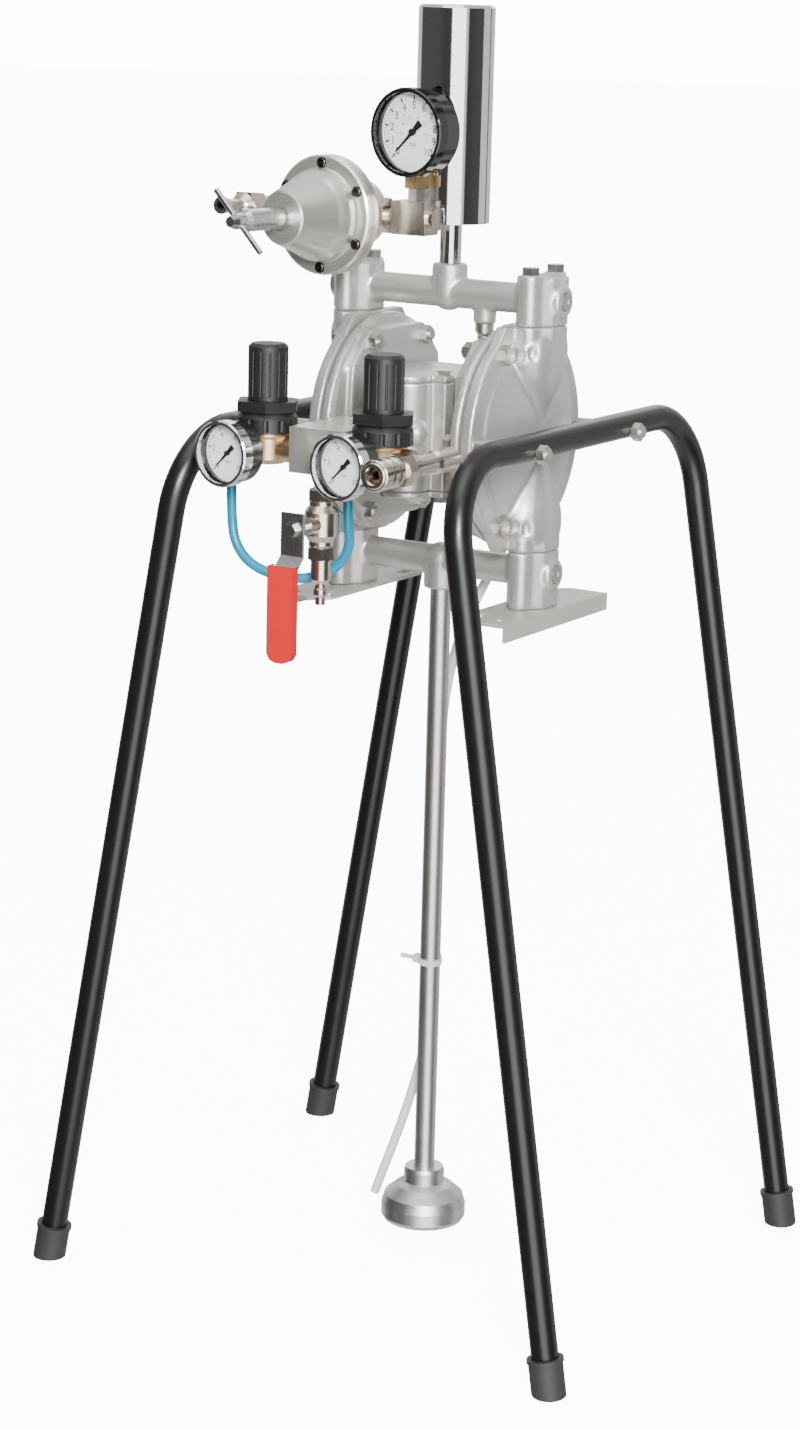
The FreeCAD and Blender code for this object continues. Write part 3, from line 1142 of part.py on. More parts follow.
fluid_screw = turned("fluid_screw_barrel", [
    (0, 0), (S.screw_radius, 0), (S.screw_radius, screw_length - 19),
    (S.screw_radius - 2.5, screw_length - 15),
    (S.screw_radius - 2.5, screw_length - 6), (4, screw_length), (0, screw_length),
])
handle_size = 4.5
handle_length = 63
handle_level = screw_length - 10
handle_hole = rod("handle_hole", handle_size / 2, 30, x=0, y=0, z=handle_level)
handle = rod("t_handle", handle_size / 2, handle_length)
quarter = math.radians(45)
for item, length in ((handle_hole, 30), (handle, handle_length)):
    base = Vector(-length / 2 * math.cos(quarter), length / 2 * math.sin(quarter), handle_level)
    item.setExpression("Placement.Base.x", None)
    item.setExpression("Placement.Base.y", None)
    item.setExpression("Placement.Base.z", None)
    item.Placement = FreeCAD.Placement(base, FreeCAD.Rotation(Z_AXIS, Vector(1, -1, 0)))
drilled_screw = cut("fluid_screw_drilled", fluid_screw, handle_hole)
face_front(drilled_screw, *fluid_at, reach=screw_start)
handle.Placement = FreeCAD.Placement(
    drilled_screw.Placement.Base, front_rotation).multiply(handle.Placement)
node("fluid_adjusting_screw", pieces("fluid_screw_set", [drilled_screw, handle]))

# Outlet block at the damper, with its nipples, and the notched outlet fitting
link_y = S.fluid_y
link_left = -24
link_right = 6
link_front = -52
link_rear = -30.5
gauge_line = -44
block = bar("link_block", link_right - link_left, link_rear - link_front, 26, x=link_left, y=link_front,
            z=S.fluid_level - 13)
link_disc = rod("link_disc", 9.5, 5, x=link_right, y=link_y, z=S.fluid_level, axis=X_AXIS)
link_neck = rod("link_neck", 8, 8, x=link_left - 8, y=link_y, z=S.fluid_level, axis=X_AXIS)
link_hex = place(padded("link_hex", hexagon(24), link_left - 8 - (S.fluid_x + port_reach)),
                 x=S.fluid_x + port_reach, y=link_y, z=S.fluid_level, axis=X_AXIS)
nipple = rod("damper_nipple", 7, 18, y=link_rear, z=S.fluid_level, axis=Y_AXIS)
link_drills = [
    rod("link_drill", port_bore, 48, x=S.fluid_x + port_reach - 1, y=link_y, z=S.fluid_level, axis=X_AXIS),
    rod("nipple_drill", port_bore - 1, 44, y=link_y, z=S.fluid_level, axis=Y_AXIS),
    rod("gauge_drill", 3, 14, x=-6, y=gauge_line, z=S.fluid_level),
]
link_blank = joined("link_blank", block, link_disc, link_neck, link_hex, nipple)
link_body = cut("link_body", link_blank, *link_drills)
outlet_start = S.fluid_x - port_reach
elbow_run = 50
outlet_tilt = math.radians(4)
outlet_axis = Vector(0, -math.cos(outlet_tilt), math.sin(outlet_tilt))
at_outlet = dict(x=outlet_start - elbow_run, y=S.fluid_y, z=S.fluid_level)
knuckle = 9
outlet_pipe = turned("outlet_pipe", [
    (0, 0), (9.5, 0), (9.5, 3), (7, 4), (7, 34), (9, 36), (9, elbow_run + knuckle - 2),
    (7, elbow_run + knuckle), (0, elbow_run + knuckle)])
place(outlet_pipe, x=outlet_start, y=S.fluid_y, z=S.fluid_level, axis=-X_AXIS)
pipe_hex = place(padded("pipe_hex", hexagon(20), 12), x=outlet_start - 4, y=S.fluid_y, z=S.fluid_level,
                 axis=-X_AXIS)
outlet_length = 68
outlet = turned("outlet_nozzle", [
    (0, 0), (8.5, 0), (8.5, 16), (10.5, 16), (10.5, 38), (7.5, 41), (5.2, 43), (5.2, 56), (7, 66),
    (7, outlet_length), (0, outlet_length)])
place(outlet, axis=outlet_axis, **at_outlet)
outlet_hex = place(padded("outlet_hex", hexagon(21.5), 20), x=at_outlet["x"],
                   y=S.fluid_y + 17 * outlet_axis.y, z=S.fluid_level + 17 * outlet_axis.z, axis=outlet_axis)
outlet_bore_radius = 3.5
outlet_back = dict(at_outlet, y=S.fluid_y - outlet_bore_radius * outlet_axis.y,
                   z=S.fluid_level - outlet_bore_radius * outlet_axis.z)
outlet_tools = [
    rod("outlet_run_bore", 3, elbow_run + 1, x=outlet_start + 1, y=S.fluid_y, z=S.fluid_level, axis=-X_AXIS),
    rod("outlet_bore", outlet_bore_radius, outlet_length + outlet_bore_radius + 1, axis=outlet_axis,
        **outlet_back),
]
notch = bar("outlet_notch", 20, 4.5, 9)
notch.Placement = FreeCAD.Placement(
    Vector(outlet_start.value - elbow_run - 10, S.fluid_y.value, S.fluid_level.value)
    + outlet_axis * (outlet_length - 8) - Vector(0, 0, 2.25), FreeCAD.Rotation(X_AXIS, 90 - 4))
outlet_tools.append(notch)
outlet_body = cut("outlet_fitting_body", joined("outlet_blank", outlet_pipe, pipe_hex, outlet, outlet_hex),
                  *outlet_tools)
node("outlet_fittings", pieces("outlet_fitting_set", [link_body, outlet_body]))

# Top gauge on the block
top_gauge_x = -6
top_gauge_y = S.fluid_y - 8
top_gauge_level = S.fluid_level + 66
gauge_set("top_gauge", S.top_gauge_radius, S.top_gauge_depth - 2, top_gauge_x, top_gauge_y,
          top_gauge_level, -14)
silver_nut = place(padded("gauge_nut", hexagon(13.5), 10), x=top_gauge_x, y=gauge_line, z=S.fluid_level + 13)
brass_low = S.fluid_level + 23
brass_hex = place(padded("gauge_hex", hexagon(19), 9), x=top_gauge_x, y=gauge_line, z=brass_low)
brass_neck = rod("gauge_neck", 6.5, 10, x=top_gauge_x, y=gauge_line, z=brass_low + 8)
case_tool = rod("gauge_case_tool", S.top_gauge_radius - 2, S.top_gauge_depth)
face_front(case_tool, top_gauge_x, top_gauge_y, top_gauge_level, -15)
brass_stem = cut("gauge_stem_body", joined("gauge_stem_blank", brass_hex, brass_neck), case_tool)
node("gauge_cases", pieces("gauge_case_set", gauge_cases))
node("gauge_bezels", pieces("gauge_bezel_set", gauge_bezels))
node("gauge_dials", pieces("gauge_dial_set", gauge_dials))
node("gauge_lenses", pieces("gauge_lens_set", gauge_lenses))
node("cap_screws", pieces("cap_screw_set", cap_screws))

# Hose fittings: elbow on the left regulator, stub under the block, barbed end under the upper manifold
elbow_radius = 4.4
elbow_reach = 4.5
elbow_x = S.regulator_x - S.regulator_pitch - S.body_reach - elbow_reach
elbow_bottom = S.port_level - 29
elbow_corner = doc.addObject("Part::Sphere", "elbow_corner")
bind(elbow_corner, "Radius", elbow_radius)
place(elbow_corner, x=elbow_x, y=S.regulator_y, z=S.port_level)
elbow = joined("elbow_body", elbow_corner,
               rod("elbow_side", elbow_radius, elbow_reach, x=elbow_x, y=S.regulator_y, z=S.port_level,
                   axis=X_AXIS),
               rod("elbow_drop", elbow_radius, 12, x=elbow_x, y=S.regulator_y, z=S.port_level - 12),
               place(padded("elbow_hex", hexagon(14), 10), x=elbow_x, y=S.regulator_y, z=elbow_bottom + 7),
               rod("elbow_collet", 6, 8, x=elbow_x, y=S.regulator_y, z=elbow_bottom))
stub_low = block_low - 15
stub = joined("stub_body",
              place(padded("stub_hex", hexagon(12), 9), x=hose_port_x, y=hose_port_y, z=block_low - 9),
              rod("stub_collet", 6, 8, x=hose_port_x, y=hose_port_y, z=stub_low))
barb_low = return_boss_low - 16
barb = turned("return_barb", [
    (2.5, 0), (6, 0), (6, 2), (5.2, 3), (6, 5), (5.2, 6), (6, 8), (7.5, 9), (7.5, 16), (2.5, 16)])
place(barb, x=return_x, z=barb_low)
node("hose_fittings", pieces("hose_fitting_set", [elbow, stub, barb, silver_nut, brass_stem]))


def hose(name, points):
    """A round hose along straight runs that are joined by tangent arcs."""
    spots = [Vector(as_size(x).value, as_size(y).value, as_size(z).value) for x, y, z in points]
    edges = []
    start = spots[0]
    length = 0
    tightest = math.inf
    for before, here, after in zip(spots, spots[1:], spots[2:]):
        back = before - here
        ahead = after - here
        turn = math.pi - back.getAngle(ahead)
        reach = 0.45 * min(back.Length, ahead.Length)
        radius = reach / math.tan(turn / 2)
        back.normalize()
        ahead.normalize()
        arc_start = here + back * reach
        arc_end = here + ahead * reach
        bisector = (back + ahead).normalize()
        middle = here + bisector * (radius / math.cos(turn / 2) - radius)
        edges.append(Part.makeLine(start, arc_start))
        edges.append(Part.Arc(arc_start, middle, arc_end).toShape())
        length += (arc_start - start).Length + radius * turn
        tightest = min(tightest, radius)
        start = arc_end
    edges.append(Part.makeLine(start, spots[-1]))
    length += (spots[-1] - start).Length
    path = doc.addObject("Part::Feature", f"{name}_path")
    path.Shape = Part.Wire(edges)
    section = doc.addObject("Part::Circle", f"{name}_section")
    bind(section, "Radius", S.hose_od / 2)
    section.Placement = FreeCAD.Placement(spots[0], FreeCAD.Rotation(Z_AXIS, spots[1] - spots[0]))
    sweep = doc.addObject("Part::Sweep", name)
    sweep.Sections = [section]
    sweep.Spine = (path, [f"Edge{index + 1}" for index in range(len(edges))])
    sweep.Solid = True
    sweep.Frenet = False
    doc.recompute()
    exact = math.pi * (S.hose_od.value / 2) ** 2 * length
    print(f"{name}: {length:.1f} mm, tightest radius {tightest:.1f} mm, "
          f"volume {sweep.Shape.Volume / exact:.4f} of section times length")
    return node(name, sweep)


hose("control_hose", [
    (elbow_x, S.regulator_y, elbow_bottom), (elbow_x, S.regulator_y, 632), (-99, -151, 606),
    (-80, -149, 589), (-50, -136, 582), (-25, -122, 590), (-11, -121, 611),
    (hose_port_x, hose_port_y, 632), (hose_port_x, hose_port_y, stub_low),
])
hose("return_hose", [
    (return_x, 0, barb_low), (return_x, 0, 740), (36, 17, 724), (40.5, 38, 714), (40.5, 53, 694),
    (40.5, 59, 665), (39, 57, 630), (30, 48, 590), (14, 34, 550), (2, 20, 505), (-3, 13.6, 455),
    (-3.4, 12.7, 405), (-2.9, 12.9, 358), (-3.2, 12.8, 312), (-3, 12.9, 270), (-3.1, 12.9, 222),
    (-8, 12, 176), (-17, 8.6, 132), (-28, 4.6, 92), (-39, 1, 58), (-47, -2, 32),
])

# Cable tie round the suction tube and the hose
tie_level = 244
tie_width = 4.6
tie_wall = 1.3
tied = [(0, 0, S.suction_od / 2 + 0.05), (-3, 12.9, S.hose_od / 2 + 0.15)]


def belt(grow):
    """Corners of a taut belt round the two tied pieces."""
    corners = []
    for step in range(28):
        angle = 2 * math.pi * step / 28
        across, up = math.cos(angle), math.sin(angle)
        x, y, radius = max(tied, key=lambda ring: ring[0] * across + ring[1] * up + ring[2].value)
        wide = (radius + grow) / math.cos(math.pi / 28)
        corners.append((x + wide * across, y + wide * up))
    return corners


tie_band = padded("tie_band", belt(tie_wall), tie_width)
tie_hole = padded("tie_hole", belt(0), tie_width + 2)
place(tie_hole, z=-1)
tie_head = bar("tie_head", 6, 7, tie_width + 2, x=-S.suction_od / 2 - 7, y=-3, z=-1)
tie_tail = bar("tie_tail", 14, 1.3, tie_width - 1, x=-S.suction_od / 2 - 20, y=-0.5, z=0.5)
tie_blank = joined("tie_blank", tie_band, tie_head, tie_tail)
node("cable_tie", place(cut("tie_body", tie_blank, tie_hole), z=tie_level))


# Check every object, then write one STEP file for each sub-part
doc.recompute()
for item in doc.Objects:
    if "Invalid" in item.State or "Error" in item.State:
        raise SystemExit(f"{item.Name} failed: {item.State}")
for name, item in nodes.items():
    shape = item.Shape
    if shape.isNull() or not shape.isValid():
        raise SystemExit(f"{name} has no valid shape")
    shape.exportStep(f"parts/{name}.step")
    print(f"{name}: {len(shape.Solids)} solids, {shape.Volume / 1000:.1f} cm3")
print(f"{len(nodes)} sub-parts")
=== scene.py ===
import bmesh
import bpy
import math
from mathutils import Matrix, Vector


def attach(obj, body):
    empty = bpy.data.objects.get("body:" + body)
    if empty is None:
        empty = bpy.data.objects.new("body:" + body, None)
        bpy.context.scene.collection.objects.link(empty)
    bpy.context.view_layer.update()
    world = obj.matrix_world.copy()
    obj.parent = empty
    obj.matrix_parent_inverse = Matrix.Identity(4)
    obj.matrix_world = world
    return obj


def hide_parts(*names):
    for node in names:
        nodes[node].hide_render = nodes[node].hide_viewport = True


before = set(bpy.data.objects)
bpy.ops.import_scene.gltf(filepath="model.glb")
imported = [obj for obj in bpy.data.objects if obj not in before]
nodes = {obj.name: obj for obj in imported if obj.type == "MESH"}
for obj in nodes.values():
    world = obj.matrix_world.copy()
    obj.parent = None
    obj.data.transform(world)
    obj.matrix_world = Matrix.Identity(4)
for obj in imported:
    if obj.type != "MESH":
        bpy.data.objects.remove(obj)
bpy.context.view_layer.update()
MM = 0.001


def mm(*values):
    """A point given in millimetres."""
    return Vector(values) * MM


def linked(name, data):
    """A new object of the scene round a mesh, a curve, a light or a camera."""
    piece = bpy.data.objects.new(name, data)
    bpy.context.scene.collection.objects.link(piece)
    return piece


# Camera at the photograph's place, solved from the stand's tubes
AZIMUTH = math.radians(30.98)
PITCH = math.radians(13.28)
ROLL = math.radians(1.49)
CAMERA_PLACE = mm(1290, -2207.5, 1059)
camera_data = bpy.data.cameras.new("camera")
camera_data.sensor_width = 36
camera_data.lens = 81.13
camera_data.clip_start = 0.1
camera_data.clip_end = 50
camera = linked("camera", camera_data)
ahead = Vector((-math.sin(AZIMUTH) * math.cos(PITCH),
                math.cos(AZIMUTH) * math.cos(PITCH),
                -math.sin(PITCH)))
right = Vector((math.cos(AZIMUTH), math.sin(AZIMUTH), 0))
upward = right.cross(ahead)
rolled_right = right * math.cos(ROLL) + upward * math.sin(ROLL)
rolled_up = upward * math.cos(ROLL) - right * math.sin(ROLL)
turn = Matrix((rolled_right, rolled_up, -ahead)).transposed()
camera.matrix_world = Matrix.Translation(CAMERA_PLACE) @ turn.to_4x4()
bpy.context.scene.camera = camera


# Materials
def material(name, color, roughness, metallic=0.0, coat=0.0):
    """A plain Principled material whose nodes are then given detail."""
    made = bpy.data.materials.new(name)
    made.use_nodes = True
    shader = made.node_tree.nodes["Principled BSDF"]
    shader.inputs["Base Color"].default_value = (*color, 1)
    shader.inputs["Roughness"].default_value = roughness
    shader.inputs["Metallic"].default_value = metallic
    shader.inputs["Coat Weight"].default_value = coat
    return made


def add_node(made, kind, **values):
    """A new node in the material's tree, with its sockets set."""
    node = made.node_tree.nodes.new(kind)
    for key, value in values.items():
        node.inputs[key].default_value = value
    return node


def noise(made, scale, detail=3.0, stretch=(1, 1, 1)):
    """A noise factor in object space, stretched for grain."""
    tree = made.node_tree
    where = tree.nodes.new("ShaderNodeTexCoord")
    mapping = tree.nodes.new("ShaderNodeMapping")
    mapping.inputs["Scale"].default_value = stretch
    texture = add_node(made, "ShaderNodeTexNoise", Scale=scale, Detail=detail)
    tree.links.new(where.outputs["Object"], mapping.inputs["Vector"])
    tree.links.new(mapping.outputs["Vector"], texture.inputs["Vector"])
    return texture.outputs["Fac"]


def vary_color(made, factor, dark, light):
    """Spreads the base colour between two tones."""
    tree = made.node_tree
    mix = tree.nodes.new("ShaderNodeMix")
    mix.data_type = "RGBA"
    mix.inputs["A"].default_value = (*dark, 1)
    mix.inputs["B"].default_value = (*light, 1)
    tree.links.new(factor, mix.inputs["Factor"])
    tree.links.new(mix.outputs["Result"], tree.nodes["Principled BSDF"].inputs["Base Color"])


def vary_roughness(made, factor, low, high):
    """Spreads the roughness between two values."""
    tree = made.node_tree
    spread = add_node(made, "ShaderNodeMapRange", **{"To Min": low, "To Max": high})
    tree.links.new(factor, spread.inputs["Value"])
    tree.links.new(spread.outputs["Result"], tree.nodes["Principled BSDF"].inputs["Roughness"])


def bump(made, factor, strength, distance):
    """Fine relief; a distance is in metres."""
    tree = made.node_tree
    relief = add_node(made, "ShaderNodeBump", Strength=strength, Distance=distance)
    tree.links.new(factor, relief.inputs["Height"])
    tree.links.new(relief.outputs["Normal"], tree.nodes["Principled BSDF"].inputs["Normal"])


def above(made, low, high):
    """A factor of 0 below one height in metres and 1 above the other."""
    tree = made.node_tree
    where = tree.nodes.new("ShaderNodeTexCoord")
    split = tree.nodes.new("ShaderNodeSeparateXYZ")
    edge = add_node(made, "ShaderNodeMapRange", **{"From Min": low, "From Max": high})
    tree.links.new(where.outputs["Object"], split.inputs["Vector"])
    tree.links.new(split.outputs["Z"], edge.inputs["Value"])
    return edge.outputs["Result"]


def cast_metal(name, dark, light, roughness, metallic):
    """Blasted aluminium casting: a fine grain in relief, and cloudy tone."""
    made = material(name, light, roughness, metallic)
    vary_color(made, noise(made, 18, 4), dark, light)
    vary_roughness(made, noise(made, 60), roughness - 0.07, roughness + 0.09)
    bump(made, noise(made, 900, 5), 0.35, 0.0006)
    return made


def turned_metal(name, dark, light, roughness, stretch=(1, 1, 1), scale=120, metallic=1.0):
    """Machined metal with fine tool marks, which a stretch draws out into lines."""
    made = material(name, light, roughness, metallic)
    marks = noise(made, scale, 3, stretch)
    vary_color(made, noise(made, 25, 2), dark, light)
    vary_roughness(made, marks, roughness - 0.06, roughness + 0.1)
    bump(made, marks, 0.15, 0.0002)
    return made


def moulded(name, dark, light, roughness, grain=700, relief=0.25, coat=0.0):
    """Moulded plastic or rubber with a faint grain."""
    made = material(name, light, roughness, 0.0, coat)
    vary_color(made, noise(made, 30, 3), dark, light)
    vary_roughness(made, noise(made, 90), roughness - 0.06, roughness + 0.08)
    bump(made, noise(made, grain, 4), relief, 0.0004)
    return made


casting = cast_metal("casting", (0.50, 0.49, 0.47), (0.61, 0.60, 0.575), 0.34, 0.68)
sheet_metal = cast_metal("sheet_metal", (0.44, 0.43, 0.4), (0.52, 0.51, 0.47), 0.5, 0.4)
black_paint = moulded("black_paint", (0.005, 0.005, 0.005), (0.009, 0.008, 0.007), 0.3, 120, 0.03)
cap_rubber = moulded("cap_rubber", (0.018, 0.018, 0.019), (0.032, 0.032, 0.033), 0.6)
zinc = turned_metal("zinc", (0.55, 0.54, 0.5), (0.7, 0.69, 0.65), 0.33)
steel = turned_metal("steel", (0.5, 0.5, 0.5), (0.66, 0.65, 0.64), 0.26)
chrome = material("chrome", (0.72, 0.73, 0.74), 0.07, 1.0)
vary_roughness(chrome, noise(chrome, 40), 0.05, 0.11)
turned_aluminium = turned_metal("turned_aluminium", (0.66, 0.65, 0.60), (0.78, 0.77, 0.72), 0.3,
                                metallic=0.85)
tube_aluminium = turned_metal("tube_aluminium", (0.62, 0.61, 0.59), (0.74, 0.73, 0.71), 0.36,
                              (1, 1, 0.08), 160)
nickel = turned_metal("nickel", (0.58, 0.52, 0.45), (0.78, 0.70, 0.62), 0.2)
brass = turned_metal("brass", (0.62, 0.42, 0.22), (0.80, 0.60, 0.38), 0.32)

# The gauge's stem is brass, and the fittings under it are nickel
NICKEL_TONE = (0.62, 0.61, 0.58)
BRASS_TONE = (0.70, 0.50, 0.26)
brass_and_nickel = turned_metal("brass_and_nickel", NICKEL_TONE, BRASS_TONE, 0.3)
vary_color(brass_and_nickel, above(brass_and_nickel, 0.8825, 0.8835), NICKEL_TONE, BRASS_TONE)

# The small gauges' bezels are chromed, and the top gauge's is black
CHROME_TONE = (0.74, 0.75, 0.76)
bezel_finish = material("bezel_finish", CHROME_TONE, 0.08, 1.0)
top_rim = above(bezel_finish, 0.80, 0.81)
vary_color(bezel_finish, top_rim, CHROME_TONE, (0.006, 0.006, 0.006))
not_metal = add_node(bezel_finish, "ShaderNodeMapRange", **{"To Min": 1.0, "To Max": 0.0})
bezel_tree = bezel_finish.node_tree
bezel_tree.links.new(top_rim, not_metal.inputs["Value"])
bezel_tree.links.new(not_metal.outputs["Result"], bezel_tree.nodes["Principled BSDF"].inputs["Metallic"])
vary_roughness(bezel_finish, noise(bezel_finish, 40), 0.06, 0.14)

socket_steel = turned_metal("socket_steel", (0.05, 0.045, 0.045), (0.09, 0.08, 0.08), 0.35)
black_plastic = moulded("black_plastic", (0.008, 0.008, 0.009), (0.014, 0.014, 0.015), 0.45)
gauge_black = moulded("gauge_black", (0.008, 0.008, 0.008), (0.014, 0.014, 0.014), 0.2, 400, 0.08, 0.3)
dial_white = moulded("dial_white", (0.92, 0.96, 0.97), (0.96, 0.99, 1.0), 0.5, 900, 0.05)
print_black = material("print_black", (0.004, 0.004, 0.004), 0.6)
vary_roughness(print_black, noise(print_black, 200), 0.5, 0.7)
print_red = material("print_red", (0.7, 0.12, 0.1), 0.6)
vary_roughness(print_red, noise(print_red, 200), 0.5, 0.7)
red_vinyl = moulded("red_vinyl", (0.52, 0.0, 0.0), (0.62, 0.001, 0.0), 0.6, 500, 0.15)
blue_hose = moulded("blue_hose", (0.0, 0.20, 0.36), (0.0, 0.27, 0.46), 0.28, 300, 0.05)
milky = moulded("milky", (0.70, 0.72, 0.66), (0.80, 0.82, 0.76), 0.35, 300, 0.05)
glass = material("glass", (0.01, 0.01, 0.01), 0.03)
glass.node_tree.nodes["Principled BSDF"].inputs["Alpha"].default_value = 0.04
vary_roughness(glass, noise(glass, 30), 0.02, 0.05)

NODE_MATERIALS = {
    black_paint: ["right_leg_frame", "left_leg_frame"],
    cap_rubber: ["foot_caps", "diaphragms", "fluid_diaphragm", "exhaust_muffler"],
    zinc: ["hex_bolts", "hex_nuts", "frame_spacers", "valve_bolts", "port_plugs"],
    socket_steel: ["cap_screws"],
    casting: ["outer_covers", "air_chambers", "air_valve_housing", "valve_caps", "upper_manifold",
              "lower_manifold", "center_body"],
    sheet_metal: ["base_plates"],
    steel: ["diaphragm_shaft", "valve_spool", "ball_seats", "right_discharge_balls", "left_discharge_balls",
            "fluid_spring", "spring_seat", "fluid_adjusting_screw", "left_adjusting_screw",
            "right_adjusting_screw", "valve_lever"],
    chrome: ["pulsation_damper", "riser_pipe"],
    bezel_finish: ["gauge_bezels"],
    tube_aluminium: ["suction_tube", "strainer_foot"],
    turned_aluminium: ["fluid_regulator_body", "fluid_regulator_bonnet", "distribution_block"],
    nickel: ["coupler_body", "coupler_sleeve", "inlet_valve_body", "inlet_valve_ball", "outlet_fittings"],
    brass: ["regulator_bodies"],
    brass_and_nickel: ["hose_fittings"],
    black_plastic: ["regulator_bonnets", "left_knob", "right_knob"],
    gauge_black: ["gauge_cases"],
    dial_white: ["gauge_dials"],
    print_black: ["left_gauge_needle", "right_gauge_needle", "top_gauge_needle"],
    glass: ["gauge_lenses"],
    red_vinyl: ["lever_grip"],
    blue_hose: ["control_hose"],
    milky: ["return_hose", "cable_tie"],
}


def give(piece, made):
    """Gives a piece one material."""
    piece.data.materials.clear()
    piece.data.materials.append(made)


for made, names in NODE_MATERIALS.items():
    for name in names:
        give(nodes[name], made)

# Castings with the soft edges and blended corners of poured metal, grown on the CAD shapes:
# each node's voxel size in millimetres and its rounds of smoothing
CAST_SHAPES = {
    "outer_covers": (1.3, 5),
    "air_chambers": (1.8, 5),
    "upper_manifold": (1.3, 7),
    "lower_manifold": (1.3, 7),
    "air_valve_housing": (1.2, 5),
    "valve_caps": (1.2, 5),
}
SMOOTHING = 0.5
PASSAGE_ROUNDS = 24

# The covers' passages: beyond the dome, within the bodies' width and between the axis and the necks
AXIS_LEVEL = 692.5
PASSAGE_START = 73
PASSAGE_HALF_WIDTH = 36
PASSAGE_LOW, PASSAGE_HIGH = 6, 74
BOLT_CIRCLE = 78.0
BOLT_CLEARANCE = 13


def baked(rough, name):
    """The object's mesh with its modifiers applied; the object itself is removed."""
    bpy.context.view_layer.update()
    mesh = bpy.data.meshes.new_from_object(rough.evaluated_get(bpy.context.evaluated_depsgraph_get()))
    bpy.data.objects.remove(rough)
    mesh.name = name
    return mesh


def on_passage(place):
    """True on the covers' swollen passages, clear of the bolt heads beside them."""
    x, y, z = place / MM
    rise = abs(z - AXIS_LEVEL)
    from_bolt = math.hypot(abs(y) - BOLT_CIRCLE * 0.5, rise - BOLT_CIRCLE * math.sqrt(0.75))
    in_band = abs(x) > PASSAGE_START and abs(y) < PASSAGE_HALF_WIDTH
    return in_band and PASSAGE_LOW < rise < PASSAGE_HIGH and from_bolt >= BOLT_CLEARANCE


def cast_shape(name, voxel, rounds):
    """The node's shape remeshed finely and smoothed, so that its edges and facets blend."""
    rough = linked(f"{name}_rough", nodes[name].data.copy())
    remesh = rough.modifiers.new("remesh", "REMESH")
    remesh.mode = "VOXEL"
    remesh.voxel_size = voxel * MM
    fine = linked(f"{name}_fine", baked(rough, f"{name}_fine"))
    smooth = fine.modifiers.new("smooth", "SMOOTH")
    smooth.factor = SMOOTHING
    smooth.iterations = rounds
    if name == "outer_covers":
        zone = fine.vertex_groups.new(name="passages")
        zone.add([vert.index for vert in fine.data.vertices if on_passage(vert.co)], 1.0, "REPLACE")
        melt = fine.modifiers.new("melt", "SMOOTH")
        melt.factor = SMOOTHING
        melt.iterations = PASSAGE_ROUNDS
        melt.vertex_group = zone.name
    mesh = baked(fine, f"{name}_cast")
    for face in mesh.polygons:
        face.use_smooth = True
    piece = linked(f"{name}_cast", mesh)
    give(piece, casting)
    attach(piece, "pump")
    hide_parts(name)


for name, (voxel, rounds) in CAST_SHAPES.items():
    cast_shape(name, voxel, rounds)

# Printed dials: ticks and plain numbers, a hair above each dial's face
PRINT_LIFT = 0.06
SWEEP_START = 225
SWEEP = 270
FONT_TO_HEIGHT = 1.4
BLACK, RED = 0, 1

# Shares of a dial's radius, and tick widths in millimetres on a dial of the small gauges' size
TICK_RING = 0.93
NUMBER_RING = 0.68
INNER_TICKS = (0.5, 0.56)
INNER_NUMBER_RING = 0.39
LONG_TICK = (0.13, 0.9)
UNIT_TICK = (0.09, 0.6)
SHORT_TICK = (0.05, 0.3)
INNER_TICK_WIDTH = 0.45
TICK_SCALE_RADIUS = 22


class Face:
    """A gauge's face: its centre, the way it looks, and flat places on it in millimetres."""

    def __init__(self, x, y, z, reach, turn):
        facing = math.radians(turn)
        self.out = Vector((math.sin(facing), -math.cos(facing), 0))
        self.side = Vector((math.cos(facing), math.sin(facing), 0))
        self.centre = Vector((x, y, z)) + self.out * (reach + PRINT_LIFT)

    def spot(self, across, rise):
        """A place on the face in metres."""
        return (self.centre + self.side * across + Vector((0, 0, rise))) * MM


def clock(share):
    """The direction at a share of the scale, clockwise from its lower left."""
    return math.radians(SWEEP_START - SWEEP * share)


def add_tick(edit, face, share, inner, outer, width, slot):
    """One flat tick between two radii, at a share of the scale."""
    way = clock(share)
    along = (math.cos(way), math.sin(way))
    beside = (-math.sin(way) * width / 2, math.cos(way) * width / 2)
    corners = []
    for radius, side in ((inner, -1), (outer, -1), (outer, 1), (inner, 1)):
        corners.append(edit.verts.new(face.spot(along[0] * radius + beside[0] * side,
                                                along[1] * radius + beside[1] * side)))
    edit.faces.new(corners).material_index = slot


def add_text(edit, face, words, across, rise, height, slot):
    """Plain characters as flat faces, centred at a place on the face."""
    curve = bpy.data.curves.new("print", "FONT")
    curve.body = words
    curve.size = height * FONT_TO_HEIGHT
    curve.align_x = "CENTER"
    holder = linked("print", curve)
    bpy.context.view_layer.update()
    flat = bpy.data.meshes.new_from_object(holder.evaluated_get(bpy.context.evaluated_depsgraph_get()))
    low = rise - height / 2
    corners = [edit.verts.new(face.spot(across + vert.co.x, low + vert.co.y)) for vert in flat.vertices]
    for polygon in flat.polygons:
        edit.faces.new([corners[index] for index in polygon.vertices]).material_index = slot
    bpy.data.objects.remove(holder)
    bpy.data.meshes.remove(flat)


